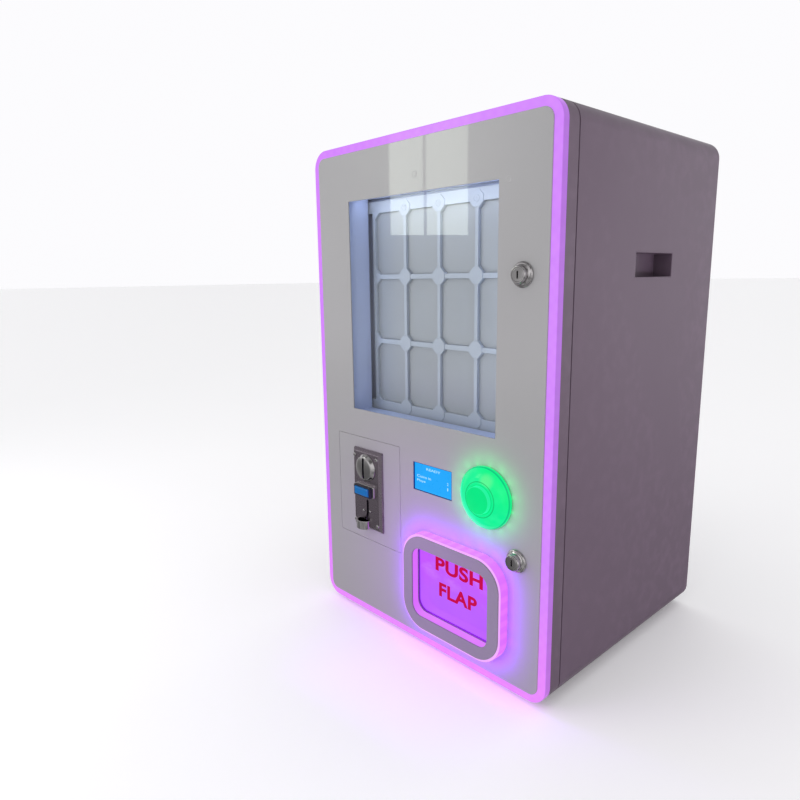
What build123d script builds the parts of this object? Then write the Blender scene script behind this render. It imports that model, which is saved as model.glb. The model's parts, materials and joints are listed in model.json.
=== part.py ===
from build123d import *

import os
from math import cos, pi, radians, sin, tan

# A counter-top prize vending machine that works with coins: a steel cabinet, and a door that
# carries a lit edge, a display window, a coin mechanism, a screen, a push button, a prize
# outlet with a flap and two cam locks.
#
# Millimetres, +Z up, the door faces -Y. The origin is on the surface that the machine stands
# on, in the middle of its overall length and width.
#
# Most sizes below are given as "across" (X from the middle), "depth" (back from the front face
# of the light ring) and "height" (up from the underside of the cabinet).

# ---- driving dimensions ----
width = 444
height = 720
depth = 402
front_y = -191
foot_height = 8
sheet = 2
gap = 0.4
corner_radius = 26
running_clearance = 0.06

ring_depth = 10
ring_band = 22
door_depth = 30
seam = 2
cabinet_front = door_depth + seam
panel_thickness = 1.5
panel_margin = 11.6
panel_radius = 13

window_width = 278.5
window_height = 307.5
window_centre = (-0.75, 487.25)
glass_thickness = 4
glass_border = 11
reveal_width = 292
reveal_height = 320
reveal_back = 42

board_columns = 4
board_rows = 3
column_pitch = 68
row_pitch = 97.5
board_centre = (-2, 484)
board_front = 45
board_depth = 9
rib_width = 5.5
bar_height = 7
cell_corner = 9
boss_size = 24
board_margin = 10
board_ear = 11

outlet_centre = (73, 104)
outlet_width = 147.4
outlet_height = 106
outlet_radius = 17
light_frame_width = 179.6
light_frame_height = 146
light_frame_radius = 40
light_frame_front = -16
cover_width = 173.6
cover_height = 139
cover_radius = 38
cover_front = -18
cover_opening = (138.4, 103)
cover_opening_radius = 16

coin_plate_centre = (-106.5, 209.5)
coin_plate_width = 65
coin_plate_height = 127
coin_plate_front = -8
coin_screw_spacing = (51, 105.5)
access_centre = (-108, 208)
access_width = 142.5
access_height = 164
coin_entry_at = (-106, 245.5)
coin_entry_radius = 21.5
coin_slot_width = 4.6
coin_slot_length = 32
reject_centre = (-106, 210.3)
reject_front = -20
reject_travel = 2.5

screen_centre = (28.8, 254.4)
screen_width = 74
screen_height = 41

button_centre = (126, 254.8)
skirt_radius = 41.2
collar_radius = 23
cap_radius = 18
cap_front = -21
collar_front = -16
barrel_radius = 12
button_travel = 3

lock_x = 175
lock_heights = {"upper": 533, "lower": 184}
lock_flange_radius = 15
lock_body_radius = 10.6
lock_barrel_radius = 9.5
lock_plug_radius = 8
lock_front = -12
cam_depth = 36.5
cam_thickness = 2.5

hinge_axis_x = -width / 2 - 4.5
hinge_axis_depth = door_depth + seam / 2
hinge_heights = (110, 610)
hinge_height = 60
knuckle_radius = 3.8
hinge_pin_radius = 2
leaf_thickness = 1.8

lip_width = 22
handle_depth_range = (170, 270)
handle_height_range = (528, 558.5)
handle_cup_depth = 25.6

flap_front = 2
flap_thickness = 3
flap_pin_radius = 1.5
flap_pin_height = 170
flap_overlap = 3.2

shelf_height = 205
magazine_across = (13, 133)
magazine_depth = (160, 252)
magazine_top = 640
pinion_teeth = 16
tooth_module = 1.5


# ---- planes and small helpers ----
def face_at(at_depth):
    """A plane across the machine at a depth, seen from the front: local x across, y height."""
    return Plane(origin=(0, front_y + at_depth, foot_height), x_dir=(1, 0, 0), z_dir=(0, -1, 0))


def level_at(at_height):
    """A horizontal plane at a height: local x across, y depth."""
    return Plane(origin=(0, front_y, foot_height + at_height), x_dir=(1, 0, 0), z_dir=(0, 0, 1))


def side_at(across):
    """An upright plane seen from the right: local x depth, y height."""
    return Plane(origin=(across, front_y, foot_height), x_dir=(0, 1, 0), z_dir=(1, 0, 0))


def middle(limits):
    return (limits[0] + limits[1]) / 2


def span(limits):
    return limits[1] - limits[0]


def block(across, deep, tall, mode=Mode.ADD):
    """A box between pairs of limits: across, depth and height."""
    with Locations((middle(across), front_y + middle(deep), foot_height + middle(tall))):
        Box(span(across), span(deep), span(tall), mode=mode)


def about_line(centre):
    """The axis, along Y, of a round part at (across, height); and the sketch plane through it."""
    origin = (centre[0], front_y, foot_height + centre[1])
    return Axis(origin, (0, 1, 0)), Plane(origin)


def save(builder, label):
    builder.part.label = label
    export_step(builder.part, f"parts/{label}.step")


os.makedirs("parts", exist_ok=True)
body_middle = (0, height / 2)
panel_width = width - 2 * panel_margin
panel_height = height - 2 * panel_margin
inner_half = width / 2 - sheet
cabinet_back = depth

# ---- cabinet shell: a wrapped sheet with rounded long edges and an inner rear flange ----
rear_flange_depth = cabinet_back - 5
rear_flange_width = 14
cup_wall = 1.5
with BuildPart() as cabinet_shell:
    with BuildSketch(face_at(cabinet_back)):
        with Locations(body_middle):
            RectangleRounded(width, height, corner_radius)
            RectangleRounded(
                width - 2 * sheet, height - 2 * sheet, corner_radius - sheet, mode=Mode.SUBTRACT
            )
    extrude(amount=cabinet_back - cabinet_front)
    with BuildSketch(face_at(rear_flange_depth)):
        with Locations(body_middle):
            RectangleRounded(width - sheet, height - sheet, corner_radius - sheet / 2)
            Rectangle(
                width - 2 * rear_flange_width, height - 2 * rear_flange_width, mode=Mode.SUBTRACT
            )
    extrude(amount=sheet)
    for side in (-1, 1):
        outer = side * width / 2
        block(
            sorted((outer - side * 2 * sheet, outer + side * sheet)),
            (handle_depth_range[0] - cup_wall, handle_depth_range[1] + cup_wall),
            (handle_height_range[0] - cup_wall, handle_height_range[1] + cup_wall),
            mode=Mode.SUBTRACT,
        )
save(cabinet_shell, "cabinet_shell")

# ---- rubber feet ----
foot_radius = 15
foot_inset_x = 40
foot_depths = (75, 360)
with BuildPart() as rubber_feet:
    for foot_depth in foot_depths:
        for side in (-1, 1):
            with BuildSketch(level_at(-foot_height)):
                with Locations((side * (width / 2 - foot_inset_x), foot_depth)):
                    Circle(foot_radius)
    extrude(amount=foot_height)
    chamfer(rubber_feet.edges().group_by(Axis.Z)[-1], 2.5)
save(rubber_feet, "rubber_feet")

# ---- front lip: the frame inside the cabinet mouth that the locks catch behind ----
lip_opening_across = (-width / 2 + lip_width, width / 2 - lip_width - 2)
lip_opening_tall = (lip_width, height - lip_width)
with BuildPart() as front_lip_frame:
    with BuildSketch(face_at(cabinet_front + sheet)):
        with Locations(body_middle):
            RectangleRounded(width - 2 * sheet, height - 2 * sheet, corner_radius - sheet)
        with Locations((middle(lip_opening_across), middle(lip_opening_tall))):
            RectangleRounded(
                span(lip_opening_across), span(lip_opening_tall), 6, mode=Mode.SUBTRACT
            )
    extrude(amount=sheet)
save(front_lip_frame, "front_lip_frame")

# ---- foam gasket on the lip ----
gasket_outer_inset = 7
gasket_inner_inset = 16
with BuildPart() as door_gasket:
    with BuildSketch(face_at(cabinet_front)):
        with Locations(body_middle):
            RectangleRounded(width - 2 * gasket_outer_inset, height - 2 * gasket_outer_inset, 19)
            RectangleRounded(
                width - 2 * gasket_inner_inset,
                height - 2 * gasket_inner_inset,
                10,
                mode=Mode.SUBTRACT,
            )
    extrude(amount=seam - gap)
save(door_gasket, "door_gasket")

# ---- back panel with vents and the power inlet's hole ----
back_front_face = rear_flange_depth
back_thickness = 1.5
inlet_centre = (140, 60)
inlet_width = 48
inlet_height = 28
vent_pitch = 10
vent_count = 9
back_screw_spots = [
    (across, tall) for across in (-211, 211) for tall in (40, 253, 467, 680)
]
back_screw_spots += [(0, 9), (0, height - 9)]
with BuildPart() as back_panel:
    with BuildSketch(face_at(back_front_face + back_thickness)):
        with Locations(body_middle):
            RectangleRounded(
                width - 2 * sheet - 1, height - 2 * sheet - 1, corner_radius - sheet - 0.5
            )
        with Locations(inlet_centre):
            Rectangle(inlet_width, inlet_height, mode=Mode.SUBTRACT)
        for row in range(vent_count):
            with Locations((0, 560 + row * vent_pitch)):
                SlotOverall(150, 4, mode=Mode.SUBTRACT)
    extrude(amount=back_thickness)
save(back_panel, "back_panel")

# ---- back panel screws: pan heads on the panel's outside ----
head_height = 2.4
with BuildPart() as back_panel_screws:
    with BuildSketch(face_at(back_front_face + back_thickness + head_height)):
        with Locations(back_screw_spots):
            Circle(3.8)
    extrude(amount=head_height)
    fillet(back_panel_screws.edges().group_by(Axis.Y)[-1], 1)
    with BuildSketch(face_at(back_front_face + back_thickness + head_height)):
        with Locations(back_screw_spots):
            Rectangle(4.2, 0.9)
            Rectangle(0.9, 4.2)
    extrude(amount=1, mode=Mode.SUBTRACT)
save(back_panel_screws, "back_panel_screws")

# ---- side handle cups: box cups that close the finger holes in both sides ----
for side, cup_name in ((-1, "handle_cup_left"), (1, "handle_cup_right")):
    outer = side * width / 2
    inner = outer - side * handle_cup_depth
    with BuildPart() as handle_cup:
        block(
            sorted((outer, inner - side * cup_wall)),
            (handle_depth_range[0] - cup_wall, handle_depth_range[1] + cup_wall),
            (handle_height_range[0] - cup_wall, handle_height_range[1] + cup_wall),
        )
        block(
            sorted((outer + side, inner)),
            handle_depth_range,
            handle_height_range,
            mode=Mode.SUBTRACT,
        )
    save(handle_cup, cup_name)

# ---- display: backplate across the cabinet, backing sheet and the grid board ----
board_width = board_columns * column_pitch + rib_width
board_height = board_rows * row_pitch + bar_height + 2 * board_margin
board_back = board_front + board_depth
backing_back = board_back + 2
backplate_front = backing_back + 5
backplate_tall = (298, 672)
spacer_radius = 6
node_columns = [
    board_centre[0] + (column - board_columns / 2) * column_pitch
    for column in range(board_columns + 1)
]
node_rows = [
    board_centre[1] + (row - board_rows / 2) * row_pitch for row in range(board_rows + 1)
]
cell_width = column_pitch - rib_width
cell_height = row_pitch - bar_height

with BuildPart() as display_backplate:
    block((-inner_half, inner_half), (backplate_front, backplate_front + sheet), backplate_tall)
    with BuildSketch(face_at(backplate_front)):
        for across in (node_columns[1], node_columns[-2]):
            for tall in (node_rows[0] + 40, board_centre[1], node_rows[-1] - 40):
                with Locations((across, tall)):
                    Circle(spacer_radius)
    extrude(amount=backplate_front - backing_back)
save(display_backplate, "display_backplate")

with BuildPart() as board_backing:
    with BuildSketch(face_at(backing_back)):
        with Locations(board_centre):
            RectangleRounded(board_width, board_height, 4)
    extrude(amount=backing_back - board_back)
save(board_backing, "board_backing")

with BuildPart() as prize_board:
    with BuildSketch(face_at(board_back)):
        with Locations(board_centre):
            Rectangle(board_width, board_height)
            # a header and a footer that reach out past the grid on both sides
            with GridLocations(0, board_height - board_margin - bar_height, 1, 2):
                Rectangle(board_width + 2 * board_ear, board_margin + bar_height)
    extrude(amount=board_depth)
    with BuildSketch(face_at(board_back)) as cell_cuts:
        with Locations(board_centre):
            with GridLocations(column_pitch, row_pitch, board_columns, board_rows):
                Rectangle(cell_width, cell_height)
        chamfer(cell_cuts.vertices(), cell_corner)
    extrude(amount=board_depth, mode=Mode.SUBTRACT)
    with BuildSketch(face_at(board_front)):
        for across in node_columns[1:-1]:
            for tall in node_rows:
                with Locations((across, tall)):
                    RegularPolygon(boss_size / 2, 8, rotation=22.5)
    extrude(amount=1)
save(prize_board, "prize_board")

# ---- LED bars at both sides of the display, out of sight behind the reveal ----
led_bar_across = 172
with BuildPart() as display_led_bars:
    for side in (-1, 1):
        bar_across = sorted((side * led_bar_across, side * (led_bar_across + 12)))
        block(bar_across, (backplate_front - 9, backplate_front), (340, 630))
save(display_led_bars, "display_led_bars")

# ---- machine shelf: carries the magazine and the drive, with a hole for falling prizes ----
shelf_depth = (backplate_front + 4, rear_flange_depth - sheet)
drop_hole_across = (5, 141)
drop_hole_depth = (72, 158)
with BuildPart() as machine_shelf:
    block((-inner_half, inner_half), shelf_depth, (shelf_height - sheet, shelf_height))
    block((-inner_half, -inner_half + sheet), shelf_depth, (shelf_height - 20, shelf_height))
    block((inner_half - sheet, inner_half), shelf_depth, (shelf_height - 20, shelf_height))
    block(
        drop_hole_across,
        drop_hole_depth,
        (shelf_height - 3 * sheet, shelf_height + sheet),
        mode=Mode.SUBTRACT,
    )
save(machine_shelf, "machine_shelf")

# ---- prize magazine: an upright column that holds the stack of boxed prizes ----
magazine_wall = 2
exit_height = 66
with BuildPart() as prize_magazine:
    block(
        (magazine_across[0] - magazine_wall, magazine_across[1] + magazine_wall),
        (magazine_depth[0] - magazine_wall, magazine_depth[1] + magazine_wall),
        (shelf_height, magazine_top),
    )
    block(
        magazine_across,
        magazine_depth,
        (shelf_height + magazine_wall, magazine_top + 1),
        mode=Mode.SUBTRACT,
    )
    block(
        magazine_across,
        (magazine_depth[0] - 2 * magazine_wall, magazine_depth[0] + 1),
        (shelf_height + magazine_wall, shelf_height + exit_height),
        mode=Mode.SUBTRACT,
    )
    block(
        (magazine_across[0] + 6, magazine_across[1] - 6),
        (magazine_depth[1] - 1, magazine_depth[1] + 2 * magazine_wall),
        (shelf_height + magazine_wall, shelf_height + 50),
        mode=Mode.SUBTRACT,
    )
    # a finger slot up the front wall, to see and straighten the stack
    block(
        (middle(magazine_across) - 20, middle(magazine_across) + 20),
        (magazine_depth[0] - 2 * magazine_wall, magazine_depth[0] + 1),
        (shelf_height + exit_height + 20, magazine_top + 1),
        mode=Mode.SUBTRACT,
    )
save(prize_magazine, "prize_magazine")

# ---- prize pusher: a head on a toothed rack that slides forward under the stack ----
rack_across = (68, 78)
rack_floor = shelf_height + 4
rack_pitch_height = shelf_height + 16
rack_depth = (magazine_depth[1] + 22, 388)
tooth_pitch = pi * tooth_module
tooth_addendum = 0.9 * tooth_module
tooth_dedendum = 1.2 * tooth_module
backlash = 0.5
pinion_radius = pinion_teeth * tooth_module / 2
pinion_depth = rack_depth[0] + 16
pinion_height = rack_pitch_height + pinion_radius
pressure_angle = radians(20)
tooth_half = tooth_pitch / 4 - backlash / 2
with BuildPart() as prize_pusher:
    block(
        (magazine_across[0] + 10, magazine_across[1] - 10),
        (magazine_depth[1] + 4, rack_depth[0]),
        (rack_floor, rack_floor + 38),
    )
    block(rack_across, rack_depth, (rack_floor, rack_pitch_height - tooth_dedendum))
    first_tooth = -int((pinion_depth - rack_depth[0]) / tooth_pitch - 0.6)
    last_tooth = int((rack_depth[1] - pinion_depth) / tooth_pitch - 0.6)
    with BuildSketch(side_at(rack_across[0])):
        for tooth in range(first_tooth, last_tooth):
            # a space, not a tooth, stands under the middle of the pinion
            centre = pinion_depth + (tooth + 0.5) * tooth_pitch
            foot_half = tooth_half + (tooth_dedendum + 0.2) * tan(pressure_angle)
            tip_half = tooth_half - tooth_addendum * tan(pressure_angle)
            with BuildLine():
                Polyline(
                    (centre - foot_half, rack_pitch_height - tooth_dedendum - 0.2),
                    (centre + foot_half, rack_pitch_height - tooth_dedendum - 0.2),
                    (centre + tip_half, rack_pitch_height + tooth_addendum),
                    (centre - tip_half, rack_pitch_height + tooth_addendum),
                    close=True,
                )
            make_face()
    extrude(amount=span(rack_across))
save(prize_pusher, "prize_pusher")

# ---- drive pinion and its shaft ----
root_radius = pinion_radius - tooth_dedendum
tip_radius = pinion_radius + tooth_addendum
shaft_radius = 3
motor_face = 92
with BuildPart() as drive_pinion:
    with BuildSketch(side_at(rack_across[0] + 1)):
        with Locations((pinion_depth, pinion_height)):
            Circle(root_radius)
        for tooth in range(pinion_teeth):
            # one tooth points straight down into the rack
            turn = -pi / 2 + tooth * 2 * pi / pinion_teeth
            root_half = (tooth_half + tooth_dedendum * tan(pressure_angle)) / pinion_radius
            tip_half = 0.75 * (tooth_half - tooth_addendum * tan(pressure_angle)) / pinion_radius
            corners = [
                (root_radius - 0.6, turn - root_half),
                (root_radius - 0.6, turn + root_half),
                (pinion_radius, turn + tooth_half / pinion_radius),
                (tip_radius, turn + tip_half),
                (tip_radius, turn - tip_half),
                (pinion_radius, turn - tooth_half / pinion_radius),
            ]
            with BuildLine():
                Polyline(
                    *[
                        (pinion_depth + r * cos(a), pinion_height + r * sin(a))
                        for r, a in corners
                    ],
                    close=True,
                )
            make_face()
    extrude(amount=span(rack_across) - 2)
    with BuildSketch(side_at(rack_across[0] - 4)):
        with Locations((pinion_depth, pinion_height)):
            Circle(shaft_radius)
    extrude(amount=motor_face + 6 - rack_across[0] + 4)
save(drive_pinion, "drive_pinion")

# ---- pusher guide: two rails beside the rack, screwed to the shelf ----
rail_gap = 0.6
with BuildPart() as pusher_guide:
    for side in (-1, 1):
        edge = middle(rack_across) + side * (span(rack_across) / 2 + rail_gap)
        block(
            sorted((edge, edge + side * 6)),
            (rack_depth[0] + 34, rack_depth[1] - 2),
            (shelf_height, shelf_height + 10),
        )
save(pusher_guide, "pusher_guide")

# ---- gear motor on its bracket ----
with BuildPart() as pusher_motor:
    motor_axis = (pinion_depth, pinion_height)
    block(
        (motor_face, motor_face + 22),
        (pinion_depth - 16, pinion_depth + 22),
        (shelf_height, pinion_height + 16),
    )
    with BuildSketch(side_at(motor_face + 22)):
        with Locations(motor_axis):
            Circle(14)
    extrude(amount=38)
    with BuildSketch(side_at(motor_face)):
        with Locations(motor_axis):
            Circle(shaft_radius + running_clearance)
    extrude(amount=8, mode=Mode.SUBTRACT)
save(pusher_motor, "pusher_motor")

# ---- prize chute: a ramp down to a tray behind the outlet flap ----
chute_wall = 1.5
chute_across = (-6.5, 152.5)
tray_floor = 46
chute_front = 40
ramp_top = (160, 198)
ramp_foot = 96
with BuildPart() as prize_chute:
    with BuildSketch(side_at(chute_across[0])):
        with BuildLine():
            Polyline(
                (chute_front, tray_floor - chute_wall),
                (ramp_foot + 2, tray_floor - chute_wall),
                (ramp_top[0] + 4, ramp_top[1]),
                (ramp_top[0], ramp_top[1]),
                (ramp_foot, tray_floor),
                (chute_front, tray_floor),
                close=True,
            )
        make_face()
    extrude(amount=span(chute_across))
    for edge in (chute_across[0] - chute_wall, chute_across[1]):
        with BuildSketch(side_at(edge)):
            with BuildLine():
                Polyline(
                    (chute_front, tray_floor - chute_wall),
                    (ramp_foot + 2, tray_floor - chute_wall),
                    (ramp_top[0] + 4, ramp_top[1]),
                    (chute_front + 30, ramp_top[1]),
                    (chute_front, 165),
                    close=True,
                )
            make_face()
        extrude(amount=chute_wall)
    # legs down to the cabinet floor
    for edge in (chute_across[0], chute_across[1] - 3):
        block((edge, edge + 3), (50, 90), (sheet, tray_floor - chute_wall))
save(prize_chute, "prize_chute")

# ---- cash box on the cabinet floor, under the coin chute ----
cash_across = (-160, -60)
cash_depth = (46, 190)
cash_tall = (sheet, 98)
with BuildPart() as cash_box:
    block(cash_across, cash_depth, cash_tall)
    block(
        (cash_across[0] + 1.5, cash_across[1] - 1.5),
        (cash_depth[0] + 1.5, cash_depth[1] - 1.5),
        (cash_tall[0] + 1.5, cash_tall[1] + 1),
        mode=Mode.SUBTRACT,
    )
save(cash_box, "cash_box")

# ---- power supply, control board and power inlet ----
supply_across = (30, 130)
supply_depth = (215, 345)
supply_top = 42
with BuildPart() as power_supply:
    block(supply_across, supply_depth, (sheet, supply_top))
    chamfer(power_supply.edges().filter_by(Axis.Z), 2)
save(power_supply, "power_supply")

circuit_across = (-190, -50)
circuit_depth = (200, 330)
circuit_floor = shelf_height + 8
circuit_top = circuit_floor + 2
post_inset = 8
post_half = 3
with BuildPart() as control_board:
    block(circuit_across, circuit_depth, (circuit_floor, circuit_top))
    for across in (circuit_across[0] + post_inset, circuit_across[1] - post_inset):
        for deep in (circuit_depth[0] + post_inset, circuit_depth[1] - post_inset):
            block(
                (across - post_half, across + post_half),
                (deep - post_half, deep + post_half),
                (shelf_height, circuit_floor),
            )
    # the processor and two rows of connectors
    block((-160, -130), (240, 270), (circuit_top, circuit_top + 4))
    block((-110, -60), (210, 222), (circuit_top, circuit_top + 12))
    block((-180, -100), (310, 322), (circuit_top, circuit_top + 12))
save(control_board, "control_board")

with BuildPart() as power_inlet:
    inlet_across = (inlet_centre[0] - inlet_width / 2, inlet_centre[0] + inlet_width / 2)
    inlet_tall = (inlet_centre[1] - inlet_height / 2, inlet_centre[1] + inlet_height / 2)
    block(
        (inlet_across[0] + 0.2, inlet_across[1] - 0.2),
        (back_front_face - 22, back_front_face + back_thickness),
        (inlet_tall[0] + 0.2, inlet_tall[1] - 0.2),
    )
    flange_back = back_front_face + back_thickness + 2
    block(
        (inlet_across[0] - 3, inlet_across[1] + 3),
        (back_front_face + back_thickness, flange_back),
        (inlet_tall[0] - 2, inlet_tall[1] + 2),
    )
    block(
        (inlet_centre[0] - 12, inlet_centre[0] + 12),
        (flange_back - 17, flange_back + 1),
        (inlet_centre[1] - 8, inlet_centre[1] + 8),
        mode=Mode.SUBTRACT,
    )
    for blade, drop in ((-7, -2), (0, 2.5), (7, -2)):
        across = inlet_centre[0] + blade
        tall = inlet_centre[1] + drop
        block((across - 1, across + 1), (flange_back - 18, flange_back - 9), (tall - 2, tall + 2))
save(power_inlet, "power_inlet")

# ---- lock strikes on the back of the lip ----
with BuildPart() as lock_strikes:
    for lock_height in lock_heights.values():
        block(
            (lip_opening_across[1] + 1, inner_half - 4),
            (cabinet_front + sheet, cabinet_front + sheet + 1.5),
            (lock_height - 22, lock_height + 22),
        )
save(lock_strikes, "lock_strikes")


# ---- door hinges on the left side ----
def knuckle(bottom, top, mode=Mode.ADD, radius=knuckle_radius):
    """A cylinder about the door's hinge line between two heights."""
    spot = (hinge_axis_x, front_y + hinge_axis_depth, foot_height + bottom)
    with Locations(spot):
        Cylinder(radius, top - bottom, align=(Align.CENTER, Align.CENTER, Align.MIN), mode=mode)


knuckle_gap = 0.5
leaf_across = (-width / 2 - leaf_thickness, -width / 2)
with BuildPart() as hinge_cabinet_leaves:
    for hinge_middle in hinge_heights:
        low = hinge_middle - hinge_height / 2
        high = hinge_middle + hinge_height / 2
        block(leaf_across, (cabinet_front + 4, cabinet_front + 22), (low, high))
        for start, end in ((low, low + 20 - knuckle_gap), (high - 20 + knuckle_gap, high)):
            knuckle(start, end)
            block(
                (hinge_axis_x, leaf_across[1]),
                (hinge_axis_depth + hinge_pin_radius, cabinet_front + 6),
                (start, end),
            )
            knuckle(start - 1, end + 1, mode=Mode.SUBTRACT, radius=hinge_pin_radius)
save(hinge_cabinet_leaves, "hinge_cabinet_leaves")

with BuildPart() as hinge_door_leaves:
    for hinge_middle in hinge_heights:
        low = hinge_middle - 10
        high = hinge_middle + 10
        block(leaf_across, (ring_depth + 2, door_depth - 4), (low - 20, high + 20))
        block(
            (hinge_axis_x, leaf_across[1]),
            (door_depth - 7, hinge_axis_depth - hinge_pin_radius - 0.2),
            (low, high),
        )
        knuckle(low, high)
        knuckle(low - 1, high + 1, mode=Mode.SUBTRACT, radius=hinge_pin_radius + running_clearance)
save(hinge_door_leaves, "hinge_door_leaves")

with BuildPart() as hinge_pins:
    for hinge_middle in hinge_heights:
        low = hinge_middle - hinge_height / 2
        high = hinge_middle + hinge_height / 2
        knuckle(low - 1, high, radius=hinge_pin_radius)
        knuckle(high, high + 1.5, radius=hinge_pin_radius + 1)
save(hinge_pins, "hinge_pins")

# ---- perimeter studs hold the panel to the frame through the ring ----
stud_radius = 2.5
rim_stud_inset = 17.5
rim_studs = [
    (side * (width / 2 - rim_stud_inset), tall)
    for side in (-1, 1)
    for tall in (90, 270, 450, 630)
]
rim_studs += [
    (across, tall)
    for across in (-110, 110)
    for tall in (rim_stud_inset, height - rim_stud_inset)
]

# ---- door frame: a shallow tray rim behind the light ring ----
frame_flange = 30
frame_return = 14
with BuildPart() as door_frame:
    with BuildSketch(face_at(door_depth)):
        with Locations(body_middle):
            RectangleRounded(width, height, corner_radius)
            RectangleRounded(
                width - 2 * sheet, height - 2 * sheet, corner_radius - sheet, mode=Mode.SUBTRACT
            )
    extrude(amount=door_depth - ring_depth)
    for back_face, inset in ((ring_depth + sheet, frame_flange), (door_depth, frame_return)):
        with BuildSketch(face_at(back_face)):
            with Locations(body_middle):
                RectangleRounded(width - sheet, height - sheet, corner_radius - sheet / 2)
                RectangleRounded(width - 2 * inset, height - 2 * inset, 6, mode=Mode.SUBTRACT)
        extrude(amount=sheet)
    with BuildSketch(face_at(ring_depth + 2 * sheet)):
        with Locations(rim_studs):
            Circle(stud_radius + 0.2)
    extrude(amount=3 * sheet, mode=Mode.SUBTRACT)
save(door_frame, "door_frame")

# ---- edge light ring ----
with BuildPart() as edge_light_ring:
    with BuildSketch(face_at(ring_depth)):
        with Locations(body_middle):
            RectangleRounded(width, height, corner_radius)
            RectangleRounded(
                width - 2 * ring_band, height - 2 * ring_band, 6, mode=Mode.SUBTRACT
            )
        with Locations(rim_studs):
            Circle(stud_radius + 0.2, mode=Mode.SUBTRACT)
    extrude(amount=ring_depth)
save(edge_light_ring, "edge_light_ring")

# ---- LED strips against the inner wall of the ring ----
strip_width = 8
strip_thickness = 1.5
strip_inset = ring_band + strip_thickness
with BuildPart() as edge_led_strips:
    strip_depth = ((ring_depth - strip_width) / 2, (ring_depth + strip_width) / 2)
    for side in (-1, 1):
        wall = side * (width / 2 - ring_band)
        block(
            sorted((wall, wall - side * strip_thickness)), strip_depth, (40, height - 40)
        )
    for floor in (ring_band, height - strip_inset):
        block((-160, 160), strip_depth, (floor, floor + strip_thickness))
save(edge_led_strips, "edge_led_strips")

# ---- door panel: the front sheet with every cut-out ----
button_hole_radius = barrel_radius + 0.3
access_gap = 0.5
with BuildPart() as door_panel:
    with BuildSketch(face_at(0)):
        with Locations(body_middle):
            RectangleRounded(panel_width, panel_height, panel_radius)
        with Locations(window_centre):
            Rectangle(window_width, window_height, mode=Mode.SUBTRACT)
        with Locations(access_centre):
            RectangleRounded(
                access_width + 2 * access_gap,
                access_height + 2 * access_gap,
                2,
                mode=Mode.SUBTRACT,
            )
        with Locations(screen_centre):
            Rectangle(screen_width, screen_height, mode=Mode.SUBTRACT)
        with Locations(button_centre):
            Circle(button_hole_radius, mode=Mode.SUBTRACT)
        with Locations(outlet_centre):
            RectangleRounded(
                outlet_width, outlet_height, outlet_radius, mode=Mode.SUBTRACT
            )
        for lock_height in lock_heights.values():
            with Locations((lock_x, lock_height)):
                Circle(lock_barrel_radius + 0.2, mode=Mode.SUBTRACT)
    extrude(amount=panel_thickness)
save(door_panel, "door_panel")

# ---- welded studs with their nuts: around the rim, and at the window's reveal ----
reveal_side_flange = 14
reveal_end_flange = 22
side_stud_offset = reveal_width / 2 + 7.5
reveal_studs = [
    (window_centre[0] + side * side_stud_offset, window_centre[1] + rise * 152)
    for side in (-1, 1)
    for rise in (-1, 0, 1)
]
reveal_studs += [
    (window_centre[0], window_centre[1] + reveal_height / 2 + 16),
    (window_centre[0], window_centre[1] - reveal_height / 2 - 7.5),
]
nut_radius = 4.6
nut_height = 3.2
reveal_flange_back = glass_thickness + 2
with BuildPart() as panel_studs:
    stud_sets = ((rim_studs, ring_depth + sheet), (reveal_studs, reveal_flange_back))
    for spots, clamp_back in stud_sets:
        with BuildSketch(face_at(clamp_back + nut_height + 1.5)):
            with Locations(spots):
                Circle(stud_radius)
        extrude(amount=clamp_back + nut_height + 1.5)
        with BuildSketch(face_at(clamp_back + nut_height)):
            with Locations(spots):
                RegularPolygon(nut_radius, 6)
        extrude(amount=nut_height)
save(panel_studs, "panel_studs")

# ---- window glass and the reveal box that clamps it ----
with BuildPart() as window_glass:
    with BuildSketch(face_at(glass_thickness)):
        with Locations(window_centre):
            RectangleRounded(
                window_width + 2 * glass_border, window_height + 2 * glass_border, 2
            )
    extrude(amount=glass_thickness)
save(window_glass, "window_glass")

with BuildPart() as window_reveal:
    with BuildSketch(face_at(reveal_flange_back)):
        with Locations(window_centre):
            Rectangle(
                reveal_width + 2 * reveal_side_flange, reveal_height + 2 * reveal_end_flange
            )
            Rectangle(reveal_width, reveal_height, mode=Mode.SUBTRACT)
        with Locations(reveal_studs):
            Circle(stud_radius + 0.2, mode=Mode.SUBTRACT)
    extrude(amount=reveal_flange_back - glass_thickness)
    with BuildSketch(face_at(reveal_back)):
        with Locations(window_centre):
            Rectangle(reveal_width + 3, reveal_height + 3)
            Rectangle(reveal_width, reveal_height, mode=Mode.SUBTRACT)
    extrude(amount=reveal_back - reveal_flange_back)
save(window_reveal, "window_reveal")

# ---- coin access plate: a service cover, flush in the panel, that carries the coin parts ----
throat_width = 44
throat_height = 96
coin_screws_at = [
    (
        coin_plate_centre[0] + side * coin_screw_spacing[0] / 2,
        coin_plate_centre[1] + rise * coin_screw_spacing[1] / 2,
    )
    for side in (-1, 1)
    for rise in (-1, 1)
]
coin_screw_radius = 2
access_tab = 8
with BuildPart() as coin_access_plate:
    with BuildSketch(face_at(0)):
        with Locations(access_centre):
            RectangleRounded(access_width, access_height, 1.5)
    extrude(amount=panel_thickness)
    # a joggled flange behind the panel's edge holds the cover flush
    with BuildSketch(face_at(panel_thickness)):
        with Locations(access_centre):
            Rectangle(access_width + 2 * access_tab, access_height + 2 * access_tab)
    extrude(amount=panel_thickness)
    with BuildSketch(face_at(panel_thickness)):
        with Locations(coin_plate_centre):
            Rectangle(throat_width, throat_height)
        with Locations(coin_screws_at):
            Circle(coin_screw_radius + 0.2)
    extrude(amount=2 * panel_thickness, mode=Mode.SUBTRACT)
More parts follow.
